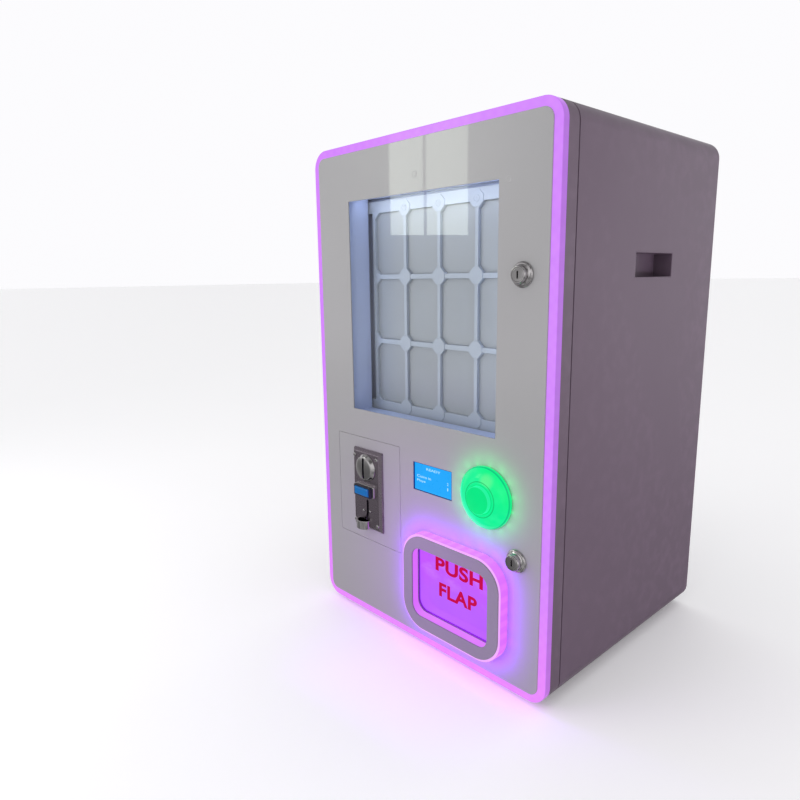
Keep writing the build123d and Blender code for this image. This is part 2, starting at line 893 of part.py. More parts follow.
save(coin_access_plate, "coin_access_plate")

# ---- coin faceplate: a cast plate with a raised pad for the reject button ----
entry_hole_radius = coin_entry_radius - 3
coin_plate_bevel = 4
reject_pad = (44, 18)
reject_pad_front = -13
return_slot_width = 5
return_top = (-104.5, 192)
return_bend = (-104.5, 175)
return_curve = 20
return_posts = [(-112, 176), (-96.5, 177.5)]
post_radius = 2.1
post_front = -10.8
bezel_size = (38, 17)
with BuildPart() as coin_faceplate:
    with BuildSketch(face_at(-panel_thickness)):
        with Locations(coin_plate_centre):
            Rectangle(coin_plate_width, coin_plate_height)
    extrude(amount=-panel_thickness - coin_plate_front)
    chamfer(coin_faceplate.edges().group_by(Axis.Y)[0], coin_plate_bevel)
    with BuildSketch(face_at(coin_plate_front)):
        with Locations(reject_centre):
            RectangleRounded(*reject_pad, 2)
    extrude(amount=coin_plate_front - reject_pad_front)
    # two small posts that keep a returned coin on its way
    with BuildSketch(face_at(coin_plate_front)):
        with Locations(return_posts):
            Circle(post_radius)
    extrude(amount=coin_plate_front - post_front)
    # the hole for the coin entry, the way for the button and the coin return slot
    with BuildSketch(face_at(-panel_thickness)):
        with Locations(coin_entry_at):
            Circle(entry_hole_radius)
        with Locations(reject_centre):
            Rectangle(bezel_size[0] - 4, bezel_size[1] - 3)
        with Locations(coin_screws_at):
            Circle(coin_screw_radius + 0.2)
    extrude(amount=-reject_pad_front, mode=Mode.SUBTRACT)
    with BuildSketch(face_at(-panel_thickness)):
        with BuildLine():
            Line(return_top, return_bend)
            JernArc(start=return_bend, tangent=(0, -1), radius=return_curve, arc_size=-90)
        trace(line_width=return_slot_width)
    extrude(amount=-reject_pad_front, mode=Mode.SUBTRACT)
save(coin_faceplate, "coin_faceplate")

# ---- coin screws: pan heads with their shanks and nuts ----
coin_head_radius = 3
coin_head_front = coin_plate_front - 2
coin_nut_back = panel_thickness + 3
with BuildPart() as coin_screws:
    with BuildSketch(face_at(coin_plate_front)):
        with Locations(coin_screws_at):
            Circle(coin_head_radius)
    extrude(amount=coin_plate_front - coin_head_front)
    fillet(coin_screws.edges().group_by(Axis.Y)[0], 1.2)
    with BuildSketch(face_at(coin_head_front + 0.8)):
        with Locations(coin_screws_at):
            Rectangle(3.2, 0.7)
            Rectangle(0.7, 3.2)
    extrude(amount=1, mode=Mode.SUBTRACT)
    with BuildSketch(face_at(coin_nut_back + 1)):
        with Locations(coin_screws_at):
            Circle(coin_screw_radius)
    extrude(amount=coin_nut_back + 1 - coin_plate_front)
    with BuildSketch(face_at(coin_nut_back)):
        with Locations(coin_screws_at):
            RegularPolygon(3.6, 6)
    extrude(amount=3)
save(coin_screws, "coin_screws")

# ---- coin entry: a raised round nose with an upright slot ----
entry_rim = coin_plate_front - 1.2
entry_nose_radius = 18
entry_nose_front = coin_plate_front - 5.5
entry_front = coin_plate_front - 6.5
entry_axis, entry_plane = about_line(coin_entry_at)
with BuildPart() as coin_entry:
    # profile in local (x, y): radius against depth
    with BuildSketch(entry_plane):
        with BuildLine():
            Polyline(
                (0, -panel_thickness),
                (entry_hole_radius, -panel_thickness),
                (entry_hole_radius, coin_plate_front),
                (coin_entry_radius, coin_plate_front),
                (coin_entry_radius, entry_rim),
            )
            Line((coin_entry_radius, entry_rim), (entry_nose_radius, entry_nose_front))
            ThreePointArc(
                (entry_nose_radius, entry_nose_front),
                (entry_nose_radius / 2, entry_front + 0.25),
                (0, entry_front),
            )
            Line((0, entry_front), (0, -panel_thickness))
        make_face()
    revolve(axis=entry_axis)
    block(
        (coin_entry_at[0] - coin_slot_width / 2, coin_entry_at[0] + coin_slot_width / 2),
        (entry_front - 1, -panel_thickness + 1),
        (coin_entry_at[1] - coin_slot_length / 2, coin_entry_at[1] + coin_slot_length / 2),
        mode=Mode.SUBTRACT,
    )
save(coin_entry, "coin_entry")

# ---- coin return cup: a half-round open-topped cup under the return slot ----
cup_across = (-126.5, -99.5)
cup_tall = (147.5, 161)
cup_front = -20
cup_wall_thickness = 1.8
with BuildPart() as coin_return_cup:
    for inset, mode in ((0, Mode.ADD), (cup_wall_thickness, Mode.SUBTRACT)):
        left, right = cup_across[0] + inset, cup_across[1] - inset
        with BuildSketch(level_at(cup_tall[0] + inset)):
            with BuildLine():
                ThreePointArc(
                    (left, coin_plate_front),
                    (middle(cup_across), cup_front + inset),
                    (right, coin_plate_front),
                )
                Line((right, coin_plate_front), (left, coin_plate_front))
            make_face()
        extrude(amount=span(cup_tall), mode=mode)
save(coin_return_cup, "coin_return_cup")

# ---- reject button and its bezel ----
button_face = (32, 12.4)
with BuildPart() as reject_bezel:
    with BuildSketch(face_at(reject_pad_front)):
        with Locations(reject_centre):
            RectangleRounded(*bezel_size, 1.5)
            RectangleRounded(button_face[0] + 0.8, button_face[1] + 0.8, 1.2, mode=Mode.SUBTRACT)
    extrude(amount=reject_pad_front + 18)
save(reject_bezel, "reject_bezel")

with BuildPart() as reject_button:
    with BuildSketch(face_at(-panel_thickness - reject_travel - 1)):
        with Locations(reject_centre):
            RectangleRounded(*button_face, 1)
    extrude(amount=-panel_thickness - reject_travel - 1 - reject_front)
    fillet(reject_button.edges().group_by(Axis.Y)[0], 0.6)
save(reject_button, "reject_button")

# ---- coin validator behind the cover ----
validator_across = (coin_plate_centre[0] - 30, coin_plate_centre[0] + 30)
validator_tall = (150, 272)
validator_depth = (coin_nut_back + 2, 62)
with BuildPart() as coin_validator:
    block(validator_across, validator_depth, validator_tall)
    chamfer(coin_validator.edges().filter_by(Axis.Y), 2)
    block(
        (coin_plate_centre[0] - throat_width / 2 + 1, coin_plate_centre[0] + throat_width / 2 - 1),
        (-panel_thickness, validator_depth[0]),
        (coin_plate_centre[1] - throat_height / 2 + 1, coin_plate_centre[1] + throat_height / 2 - 1),
    )
    block(
        (coin_entry_at[0] - coin_slot_width / 2, coin_entry_at[0] + coin_slot_width / 2),
        (-panel_thickness - 1, 30),
        (coin_entry_at[1] - coin_slot_length / 2, coin_entry_at[1] + 12),
        mode=Mode.SUBTRACT,
    )
save(coin_validator, "coin_validator")

# ---- coin chute: a square tube from the validator down towards the cash box ----
tube_wall = 1.2
chute_mouth = ((20, 60), 150)
chute_end = ((52, 80), 106)
tube_across = (-128, -84)
with BuildPart() as coin_chute:
    for inset, across, mode in (
        (0, tube_across, Mode.ADD),
        (tube_wall, (tube_across[0] + tube_wall, tube_across[1] - tube_wall), Mode.SUBTRACT),
    ):
        with BuildSketch(side_at(across[0])):
            overrun = 2 if inset else 0
            with BuildLine():
                Polyline(
                    (chute_mouth[0][0] + inset, chute_mouth[1] + overrun),
                    (chute_mouth[0][0] + inset, chute_mouth[1] - 14),
                    (chute_end[0][0] + inset, chute_end[1] + 4),
                    (chute_end[0][0] + inset, chute_end[1] - overrun),
                    (chute_end[0][1] - inset, chute_end[1] - overrun),
                    (chute_end[0][1] - inset, chute_end[1] + 8),
                    (chute_mouth[0][1] - inset, chute_mouth[1] - 10),
                    (chute_mouth[0][1] - inset, chute_mouth[1] + overrun),
                    close=True,
                )
            make_face()
        extrude(amount=span(across), mode=mode)
save(coin_chute, "coin_chute")

# ---- screen module behind the panel ----
screen_recess = 0.8
screen_board = (93, 70)
screen_post = 5
with BuildPart() as lcd_module:
    block(
        (screen_centre[0] - 40, screen_centre[0] + 40),
        (screen_recess, 10),
        (screen_centre[1] - 23, screen_centre[1] + 23),
    )
    block(
        (screen_centre[0] - screen_board[0] / 2, screen_centre[0] + screen_board[0] / 2),
        (10, 11.6),
        (screen_centre[1] - screen_board[1] / 2, screen_centre[1] + screen_board[1] / 2),
    )
    for side in (-1, 1):
        for rise in (-1, 1):
            across = screen_centre[0] + side * (screen_board[0] - screen_post) / 2
            tall = screen_centre[1] + rise * (screen_board[1] - screen_post) / 2
            half = screen_post / 2
            block((across - half, across + half), (0, 10), (tall - half, tall + half))
save(lcd_module, "lcd_module")

# ---- push button: lit skirt, collar, sliding cap, nut and switch ----
button_axis, button_plane = about_line(button_centre)
skirt_front = collar_front + 0.6
skirt_rim = -5.5
stem_radius = 5
stem_clearance = 0.3
cap_clearance = 0.4
cap_dish = 1
cap_rim = cap_radius - 1.6
button_back = 28
with BuildPart() as button_skirt:
    with BuildSketch(button_plane):
        with BuildLine():
            Line((collar_radius, -panel_thickness), (skirt_radius - 1, -panel_thickness))
            Line((skirt_radius - 1, -panel_thickness), (skirt_radius, -panel_thickness - 1))
            Line((skirt_radius, -panel_thickness - 1), (skirt_radius, skirt_rim))
            ThreePointArc(
                (skirt_radius, skirt_rim),
                (skirt_radius - 7.5, -11.6),
                (collar_radius, skirt_front),
            )
            Line((collar_radius, skirt_front), (collar_radius, -panel_thickness))
        make_face()
    revolve(axis=button_axis)
save(button_skirt, "button_skirt")

with BuildPart() as button_collar:
    with BuildSketch(button_plane):
        with BuildLine():
            Polyline(
                (stem_radius + stem_clearance, button_back),
                (barrel_radius, button_back),
                (barrel_radius, -panel_thickness),
                (collar_radius, -panel_thickness),
                (collar_radius, collar_front + 1),
                (collar_radius - 1, collar_front),
                (collar_radius - 1.8, collar_front),
                (collar_radius - 2.2, collar_front + 0.8),
                (collar_radius - 2.8, collar_front + 0.8),
                (collar_radius - 3.2, collar_front),
                (cap_radius + cap_clearance, collar_front),
                (cap_radius + cap_clearance, cap_front + 12 + button_travel),
                (stem_radius + stem_clearance, cap_front + 12 + button_travel),
                close=True,
            )
        make_face()
    revolve(axis=button_axis)
save(button_collar, "button_collar")

with BuildPart() as play_button:
    with BuildSketch(button_plane):
        with BuildLine():
            ThreePointArc(
                (0, cap_front + cap_dish), (9, cap_front + 0.66 * cap_dish), (cap_rim, cap_front)
            )
            Polyline(
                (cap_rim, cap_front),
                (cap_radius - 0.6, cap_front),
                (cap_radius, cap_front + 0.6),
                (cap_radius, cap_front + 11),
                (stem_radius, cap_front + 11),
                (stem_radius, button_back - button_travel - 2),
                (0, button_back - button_travel - 2),
                (0, cap_front + cap_dish),
            )
        make_face()
    revolve(axis=button_axis)
save(play_button, "play_button")

with BuildPart() as button_nut:
    with BuildSketch(face_at(7)):
        with Locations(button_centre):
            RegularPolygon(19, 6)
            Circle(barrel_radius, mode=Mode.SUBTRACT)
    extrude(amount=7)
save(button_nut, "button_nut")

with BuildPart() as button_switch:
    block(
        (button_centre[0] - 9, button_centre[0] + 9),
        (button_back, button_back + 18),
        (button_centre[1] - 12, button_centre[1] + 12),
    )
    for side in (-1, 1):
        across = button_centre[0] + side * 5
        block(
            (across - 0.5, across + 0.5),
            (button_back + 18, button_back + 26),
            (button_centre[1] - 3, button_centre[1] + 3),
        )
save(button_switch, "button_switch")

# ---- prize outlet: lit frame and its cover plate ----
with BuildPart() as prize_light_frame:
    with BuildSketch(face_at(-panel_thickness)):
        with Locations(outlet_centre):
            RectangleRounded(light_frame_width, light_frame_height, light_frame_radius)
            RectangleRounded(
                outlet_width, outlet_height, outlet_radius, mode=Mode.SUBTRACT
            )
    extrude(amount=-panel_thickness - light_frame_front)
save(prize_light_frame, "prize_light_frame")

with BuildPart() as prize_cover_plate:
    with BuildSketch(face_at(light_frame_front)):
        with Locations(outlet_centre):
            RectangleRounded(cover_width, cover_height, cover_radius)
            RectangleRounded(*cover_opening, cover_opening_radius, mode=Mode.SUBTRACT)
    extrude(amount=light_frame_front - cover_front)
    fillet(prize_cover_plate.edges().group_by(Axis.Y)[0], 0.5)
save(prize_cover_plate, "prize_cover_plate")

# ---- outlet flap: a plate that hangs from a pin behind the panel and swings inwards ----
flap_axis_depth = flap_front + flap_thickness / 2
flap_knuckle_radius = flap_thickness / 2 + 1.4
flap_across = (
    outlet_centre[0] - outlet_width / 2 - flap_overlap,
    outlet_centre[0] + outlet_width / 2 + flap_overlap,
)
flap_bottom = outlet_centre[1] - outlet_height / 2 - flap_overlap
ear_thickness = 3
ear_gap = 0.6
with BuildPart() as prize_flap:
    with BuildSketch(face_at(flap_front + flap_thickness)):
        with BuildLine():
            Polyline(
                (flap_across[0], flap_pin_height),
                (flap_across[0], flap_bottom),
                (flap_across[1], flap_bottom),
                (flap_across[1], flap_pin_height),
                close=True,
            )
        make_face()
    extrude(amount=flap_thickness)
    with BuildSketch(side_at(flap_across[0])):
        with Locations((flap_axis_depth, flap_pin_height)):
            Circle(flap_knuckle_radius)
    extrude(amount=span(flap_across))
    with BuildSketch(side_at(flap_across[0])):
        with Locations((flap_axis_depth, flap_pin_height)):
            Circle(flap_pin_radius + running_clearance)
    extrude(amount=span(flap_across), mode=Mode.SUBTRACT)
save(prize_flap, "prize_flap")

with BuildPart() as flap_pin:
    with BuildSketch(side_at(flap_across[0] - ear_gap - ear_thickness)):
        with Locations((flap_axis_depth, flap_pin_height)):
            Circle(flap_pin_radius)
    extrude(amount=span(flap_across) + 2 * (ear_gap + ear_thickness))
save(flap_pin, "flap_pin")

with BuildPart() as flap_brackets:
    for start in (flap_across[0] - ear_gap - ear_thickness, flap_across[1] + ear_gap):
        with BuildSketch(side_at(start)):
            with BuildLine():
                Polyline(
                    (0, flap_pin_height - 8),
                    (flap_axis_depth + 4, flap_pin_height - 4),
                    (flap_axis_depth + 4, flap_pin_height + 4),
                    (0, flap_pin_height + 8),
                    close=True,
                )
            make_face()
            with Locations((flap_axis_depth, flap_pin_height)):
                Circle(flap_pin_radius, mode=Mode.SUBTRACT)
        extrude(amount=ear_thickness)
save(flap_brackets, "flap_brackets")

# ---- cam locks: bodies and nuts on the door, plugs and cams that turn ----
with BuildPart() as lock_bodies:
    for lock_height in lock_heights.values():
        lock_axis, lock_plane = about_line((lock_x, lock_height))
        with BuildSketch(lock_plane):
            with BuildLine():
                Polyline(
                    (lock_plug_radius + running_clearance, cam_depth - 0.5),
                    (lock_barrel_radius, cam_depth - 0.5),
                    (lock_barrel_radius, -panel_thickness),
                    (lock_flange_radius, -panel_thickness),
                    (lock_flange_radius, -3),
                    (lock_flange_radius - 1.6, -4.4),
                    (lock_body_radius + 1.4, -4.8),
                    (lock_body_radius, -6),
                    (lock_body_radius, lock_front + 1),
                    (lock_body_radius - 1, lock_front),
                    (lock_plug_radius + running_clearance, lock_front),
                    close=True,
                )
            make_face()
        revolve(axis=lock_axis)
save(lock_bodies, "lock_bodies")

with BuildPart() as lock_nuts:
    for lock_height in lock_heights.values():
        with BuildSketch(face_at(5)):
            with Locations((lock_x, lock_height)):
                RegularPolygon(14, 6)
                Circle(lock_barrel_radius, mode=Mode.SUBTRACT)
        extrude(amount=5)
save(lock_nuts, "lock_nuts")

key_slot = (2.2, 8.5)
cam_width = 17
cam_reach = 37
for lock_name, lock_height in lock_heights.items():
    with BuildPart() as lock_plug:
        with BuildSketch(face_at(cam_depth)):
            with Locations((lock_x, lock_height)):
                Circle(lock_plug_radius)
        extrude(amount=cam_depth - lock_front)
        chamfer(lock_plug.edges().group_by(Axis.Y)[0], 0.5)
        with BuildSketch(face_at(lock_front + 12)):
            with Locations((lock_x, lock_height)):
                Rectangle(*key_slot)
        extrude(amount=13, mode=Mode.SUBTRACT)
        with BuildSketch(face_at(cam_depth + cam_thickness + 3)):
            with Locations((lock_x, lock_height)):
                RegularPolygon(6, 6)
        extrude(amount=3)
        with BuildSketch(face_at(cam_depth + cam_thickness)):
            with Locations((lock_x, lock_height)):
                Rectangle(8, 8)
        extrude(amount=cam_thickness)
    save(lock_plug, f"{lock_name}_lock_plug")

    with BuildPart() as lock_cam:
        with BuildSketch(face_at(cam_depth + cam_thickness)):
            with Locations((lock_x, lock_height)):
                Circle(cam_width / 2)
            with Locations((lock_x, lock_height + cam_reach / 2)):
                Rectangle(cam_width, cam_reach)
            with Locations((lock_x, lock_height)):
                Rectangle(8, 8, mode=Mode.SUBTRACT)
        extrude(amount=cam_thickness)
    save(lock_cam, f"{lock_name}_lock_cam")
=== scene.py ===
import json
import math
import random

import bmesh
import bpy
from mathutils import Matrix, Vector

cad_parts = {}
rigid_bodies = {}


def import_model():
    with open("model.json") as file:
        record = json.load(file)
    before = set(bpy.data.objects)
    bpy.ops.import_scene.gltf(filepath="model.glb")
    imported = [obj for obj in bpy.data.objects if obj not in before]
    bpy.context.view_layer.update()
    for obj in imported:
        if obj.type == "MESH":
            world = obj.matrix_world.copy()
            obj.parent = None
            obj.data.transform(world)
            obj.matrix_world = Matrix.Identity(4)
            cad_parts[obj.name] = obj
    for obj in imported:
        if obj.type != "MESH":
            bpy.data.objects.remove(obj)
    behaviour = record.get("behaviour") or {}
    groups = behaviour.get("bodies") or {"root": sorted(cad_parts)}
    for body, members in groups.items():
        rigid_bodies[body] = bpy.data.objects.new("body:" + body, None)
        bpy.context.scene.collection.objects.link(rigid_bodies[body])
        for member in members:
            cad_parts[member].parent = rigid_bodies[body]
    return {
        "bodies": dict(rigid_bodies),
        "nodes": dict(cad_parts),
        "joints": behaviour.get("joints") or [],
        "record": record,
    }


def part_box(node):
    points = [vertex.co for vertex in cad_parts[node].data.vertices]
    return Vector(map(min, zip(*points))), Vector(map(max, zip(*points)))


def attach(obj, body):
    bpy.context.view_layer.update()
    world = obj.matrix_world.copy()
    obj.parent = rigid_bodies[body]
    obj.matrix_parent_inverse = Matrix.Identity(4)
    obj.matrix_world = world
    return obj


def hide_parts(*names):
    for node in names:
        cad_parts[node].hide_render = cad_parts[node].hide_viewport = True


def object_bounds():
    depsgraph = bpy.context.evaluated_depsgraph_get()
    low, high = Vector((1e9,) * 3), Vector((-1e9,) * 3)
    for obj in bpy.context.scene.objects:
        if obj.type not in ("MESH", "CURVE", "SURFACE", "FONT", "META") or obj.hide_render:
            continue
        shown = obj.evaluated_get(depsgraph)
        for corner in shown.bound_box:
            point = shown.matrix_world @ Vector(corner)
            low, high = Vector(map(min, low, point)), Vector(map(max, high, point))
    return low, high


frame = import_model()
cad_low, cad_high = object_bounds()
nodes = frame["nodes"]
MM = 0.001

# ---- places from the frame
# Pieces are drawn in millimetres, as the machine's drawing has them: across from the middle,
# depth back from the front of the light ring, and height up from the underside of the cabinet.
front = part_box("edge_light_ring")[0].y
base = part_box("cabinet_shell")[0].z


def at(across, depth, height):
    """A drawing place as a point of the scene, in metres."""
    return Vector((across * MM, front + depth * MM, base + height * MM))


def limits(node_name):
    """A node's box on the drawing: its limits across, in depth and in height."""
    low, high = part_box(node_name)
    return (
        (low.x / MM, high.x / MM),
        ((low.y - front) / MM, (high.y - front) / MM),
        ((low.z - base) / MM, (high.z - base) / MM),
    )


def middle(pair):
    return (pair[0] + pair[1]) / 2


def span(pair):
    return pair[1] - pair[0]


def centre_of(node_name):
    """The middle of a node as seen from the front: across and height."""
    across, _, height = limits(node_name)
    return (middle(across), middle(height))


def depth_of(node_name):
    return limits(node_name)[1]


def face_of(node_name):
    """A node's limits as seen from the front: across and in height."""
    return limits(node_name)[::2]


def side_of(node_name):
    """A node's limits as seen from the side: in depth and in height."""
    return limits(node_name)[1:]


def shifted(place, right=0.0, up=0.0):
    return (place[0] + right, place[1] + up)


def about(centre, reach):
    """The limits that reach equally far to both sides of a place."""
    return (centre - reach, centre + reach)


def corner_spots(across, height, inset=0.0):
    return [(x, y) for x in inner(across, inset) for y in inner(height, inset)]


def inner(pair, inset):
    return (pair[0] + inset, pair[1] - inset)


body_across, body_depth, body_height = limits("edge_light_ring")
body_middle = (middle(body_across), middle(body_height))
body_width = span(body_across)
body_tall = span(body_height)
cabinet_front, cabinet_back = depth_of("cabinet_shell")
panel_front = depth_of("door_panel")[0]
window_middle = centre_of("window_glass")
screen_middle = centre_of("lcd_module")
button_middle = centre_of("play_button")
outlet_middle = centre_of("prize_light_frame")
plate_middle = centre_of("coin_faceplate")
entry_middle = centre_of("coin_entry")
reject_middle = centre_of("reject_button")
lock_middles = {name: centre_of(f"{name}_lock_plug") for name in ("upper", "lower")}

# ---- sizes that the boxes don't say, in millimetres ----
corner_radius = 26
ring_band = 22
sheet = 2
panel_radius = 13
glass_border = 11
screen_opening = (74, 41)
button_hole = 12.3
lock_barrel = 9.5
outlet_opening = (147.4, 106)
outlet_radius = 17
slab_radius = 40
cover_opening = (138.4, 103)
cover_opening_radius = 16
board_ear = 11
board_footer = 17
rib_width = 5.5
bar_height = 7
cell_corner = 9
boss_reach = 12
cell_recess = 4.5
coin_slot = (4.6, 32)
bezel_opening = (32.8, 13.2)
coin_screw_spacing = (51, 105.5)
coin_screw_hole = 2.2
coin_throat = (44, 96)
reject_opening = (34, 14)
coin_plate_front = -8
handle_wall = 1.5
stud_hole = 2.7
lamp_pitch = 16.7
vent_slot = (150, 4)
vent_pitch = 10
lowest_vent = 560
inlet_cutout = (48, 28)
inlet_mouth = (24, 16)


# ---- node tree helpers
class Tree:
    """The node tree of a new material or of a given world, with short ways to link its nodes."""

    def __init__(self, name, world=None):
        self.owner = world or bpy.data.materials.new(name)
        self.owner.use_nodes = True
        self.tree = self.owner.node_tree
        self.surface = self.tree.nodes.get("Principled BSDF")

    def add(self, kind, sockets=None, **settings):
        """A new node, with a value or a link for each of the sockets named."""
        node = self.tree.nodes.new(kind)
        for key, value in settings.items():
            setattr(node, key, value)
        for key, value in (sockets or {}).items():
            self.feed(value, node.inputs[key])
        return node

    def link(self, source, target):
        self.tree.links.new(source, target)

    def feed(self, value, socket):
        """Sets a socket to a number or a colour, or links it to another node."""
        if isinstance(value, bpy.types.NodeSocket):
            self.link(value, socket)
        elif socket.type == "RGBA":
            socket.default_value = (*value, 1.0)
        else:
            socket.default_value = value

    def set(self, **values):
        """Sets or links the main shader's own sockets: Base_Color=... is "Base Color"."""
        for key, value in values.items():
            self.feed(value, self.surface.inputs[key.replace("_", " ")])

    def place(self):
        """The point on the object, in metres in the object's own frame."""
        return self.add("ShaderNodeTexCoord").outputs["Object"]

    def split(self, vector):
        return self.add("ShaderNodeSeparateXYZ", {0: vector}).outputs

    def axis(self, letter):
        return self.split(self.place())[letter]

    def facing(self, letter):
        """How much the surface faces along an axis, -1 to 1."""
        return self.split(self.add("ShaderNodeNewGeometry").outputs["Normal"])[letter]

    def noise(self, scale, detail=2.0, roughness=0.5, stretch=None):
        vector = self.place()
        if stretch:
            mapping = self.add("ShaderNodeMapping", {"Scale": stretch, "Vector": vector})
            vector = mapping.outputs["Vector"]
        sockets = {"Scale": scale, "Detail": detail, "Roughness": roughness, "Vector": vector}
        return self.add("ShaderNodeTexNoise", sockets).outputs["Fac"]

    def clouds(self, scale, detail, *numbers):
        """Noise between two of its own values, as 0 to 1 or as two given values."""
        return self.remap(self.noise(scale, detail), *numbers)

    def remap(self, value, low, high, to_low=0.0, to_high=1.0, smooth=False):
        kind = "SMOOTHSTEP" if smooth else "LINEAR"
        names = ("Value", "From Min", "From Max", "To Min", "To Max")
        sockets = dict(zip(names, (value, low, high, to_low, to_high)))
        return self.add("ShaderNodeMapRange", sockets, interpolation_type=kind).outputs["Result"]

    def math(self, operation, *values):
        return self.add("ShaderNodeMath", dict(enumerate(values)), operation=operation).outputs[0]

    def product(self, first, second):
        return self.math("MULTIPLY", first, second)

    def mix(self, factor, first, second, blend="MIX"):
        sockets = {0: factor, 6: first, 7: second}
        return self.add("ShaderNodeMix", sockets, data_type="RGBA", blend_type=blend).outputs[2]

    def bump(self, height, distance):
        node = self.add("ShaderNodeBump", {"Distance": distance, "Height": height})
        self.set(Normal=node.outputs["Normal"])

    def edges(self):
        """1 on sharp outward edges, 0 elsewhere."""
        return self.remap(self.add("ShaderNodeNewGeometry").outputs["Pointiness"], 0.52, 0.6)

    def ripple(self, letter):
        """A wave along an axis that goes up and down once for each lamp."""
        turns = self.product(self.axis(letter), 2 * math.pi / (lamp_pitch * MM))
        return self.math("SINE", turns)


def shade(colour, factor):
    return tuple(min(1.0, c * factor) for c in colour)


# ---- materials
def paint(name, colour, roughness, coat, peel_height, wear=0.0):
    """Sprayed enamel: soft mottling, fine specks, orange peel, paler where edges wear."""
    m = Tree(name)
    patches = m.clouds(3, 2, 0.2, 0.8)
    specks = m.clouds(1500, 1, 0.62, 0.8)
    colours = m.mix(patches, shade(colour, 0.98), shade(colour, 1.02))
    colours = m.mix(m.product(specks, 0.10), colours, shade(colour, 0.6))
    if wear:
        scuffs = m.product(m.edges(), m.clouds(60, 4, 0.45, 0.7))
        colours = m.mix(m.product(scuffs, wear), colours, shade(colour, 1.7))
    m.set(Base_Color=colours, Coat_Weight=coat, Coat_Roughness=0.03)
    m.set(Roughness=m.clouds(20, 3, 0.3, 0.7, roughness * 0.96, roughness * 1.04))
    m.bump(m.math("ADD", m.noise(230, 1.5), m.noise(75, 1)), peel_height)
    return m.owner


def metal(name, colour, roughness, grain=(1, 1, 1), grain_height=0.00001, tarnish=0.25, scale=600):
    """Metal with cloudy roughness, faint tarnish and a drawn or cast grain."""
    m = Tree(name)
    clouds = m.clouds(28, 5, 0.35, 0.7)
    m.set(Base_Color=m.mix(clouds, colour, shade(colour, 1 - tarnish)), Metallic=1.0)
    m.set(Roughness=m.clouds(90, 5, 0.3, 0.7, roughness * 0.6, roughness * 1.5))
    m.bump(m.noise(scale, 3, 0.6, grain), grain_height)
    return m.owner


def cast_chrome(name, colour):
    """Plated die casting: dull bright specks between the tiny dimples of the casting."""
    m = Tree(name)
    grains = m.remap(m.noise(1100, 2, 0.7), 0.35, 0.65)
    m.set(Base_Color=m.mix(grains, shade(colour, 0.55), shade(colour, 1.45)))
    m.set(Roughness=m.remap(grains, 0, 1, 0.38, 0.2), Metallic=1.0)
    m.bump(grains, 0.00004)
    return m.owner


def plastic(name, colour, roughness, grain_scale=1400, grain_height=0.00001, variation=0.04):
    """Moulded plastic: fine spark-eroded grain and soft colour drift."""
    m = Tree(name)
    drift = m.clouds(8, 2, 0.3, 0.7)
    m.set(Base_Color=m.mix(drift, shade(colour, 1 - variation), shade(colour, 1 + variation)))
    m.set(Roughness=m.clouds(120, 3, 0.3, 0.7, roughness * 0.85, roughness * 1.2))
    m.bump(m.noise(grain_scale, 3), grain_height)
    return m.owner


def lit_plastic(name, colour, glow, coat=0.15, roughness=0.2, strength=1.0):
    """Milky plastic lit from inside. glow(tree) gives the colour of the light at each point."""
    m = Tree(name)
    haze = m.clouds(40, 2, 0.3, 0.7, 0.94, 1.0)
    dimmed = m.mix(haze, (0.0, 0.0, 0.0), (1.0, 1.0, 1.0))
    m.set(Emission_Color=m.mix(1.0, glow(m), dimmed, "MULTIPLY"))
    m.set(Base_Color=colour, Emission_Strength=strength)
    m.set(Coat_Weight=coat, Coat_Roughness=0.06, Specular_IOR_Level=0.12)
    m.set(Roughness=m.clouds(200, 2, 0.3, 0.7, roughness * 0.8, roughness * 1.25))
    m.bump(m.noise(420, 2), 0.000008)
    return m.owner


def ring_glow(m):
    """Violet, a little paler at the right, pinker at the foot, deeper on the side walls."""
    rightwards = m.remap(m.axis("X"), cad_low.x, cad_high.x)
    upper = m.mix(rightwards, (0.56, 0.17, 0.90), (0.57, 0.20, 0.90))
    rise = m.remap(m.axis("Z"), cad_low.z + 0.01, cad_low.z + 0.22, smooth=True)
    colours = m.mix(rise, (0.74, 0.21, 0.95), upper)
    ripple = m.remap(m.product(m.ripple("X"), m.ripple("Z")), -1, 1, 0.0, 0.035)
    colours = m.mix(ripple, colours, (1.0, 0.75, 1.0))
    wall = m.remap(m.math("ABSOLUTE", m.facing("X")), 0.35, 1.0)
    return m.mix(m.product(wall, 0.62), colours, (0.23, 0.07, 0.42))


def outlet_glow(m):
    """Bright bands in front of each LED along the walls, and a pale front edge."""
    centre = at(outlet_middle[0], 0, outlet_middle[1])
    bands, sides = [], []
    for facing, along, middle_place, reach in (
        ("X", "Z", centre.x, (0.076, 0.084)),
        ("Z", "X", centre.z, (0.055, 0.066)),
    ):
        sides.append(m.math("POWER", m.math("ABSOLUTE", m.facing(facing)), 2.0))
        offset = m.math("ABSOLUTE", m.math("SUBTRACT", m.axis(facing), middle_place))
        patch = m.product(m.remap(m.ripple(along), -0.7, 0.9, smooth=True), sides[-1])
        bands.append(m.product(patch, m.remap(offset, *reach)))
    band = m.math("ADD", bands[0], bands[1])
    side = sides[0]
    dark = m.mix(side, (0.66, 0.15, 0.92), (0.60, 0.11, 0.90))
    bright = m.mix(side, (0.74, 0.26, 0.97), (0.78, 0.18, 0.97))
    walls = m.mix(m.remap(band, 0, 1, 0.45, 0.85), dark, bright)
    return m.mix(m.remap(m.facing("Y"), -0.6, -0.95), walls, (0.84, 0.42, 0.98))


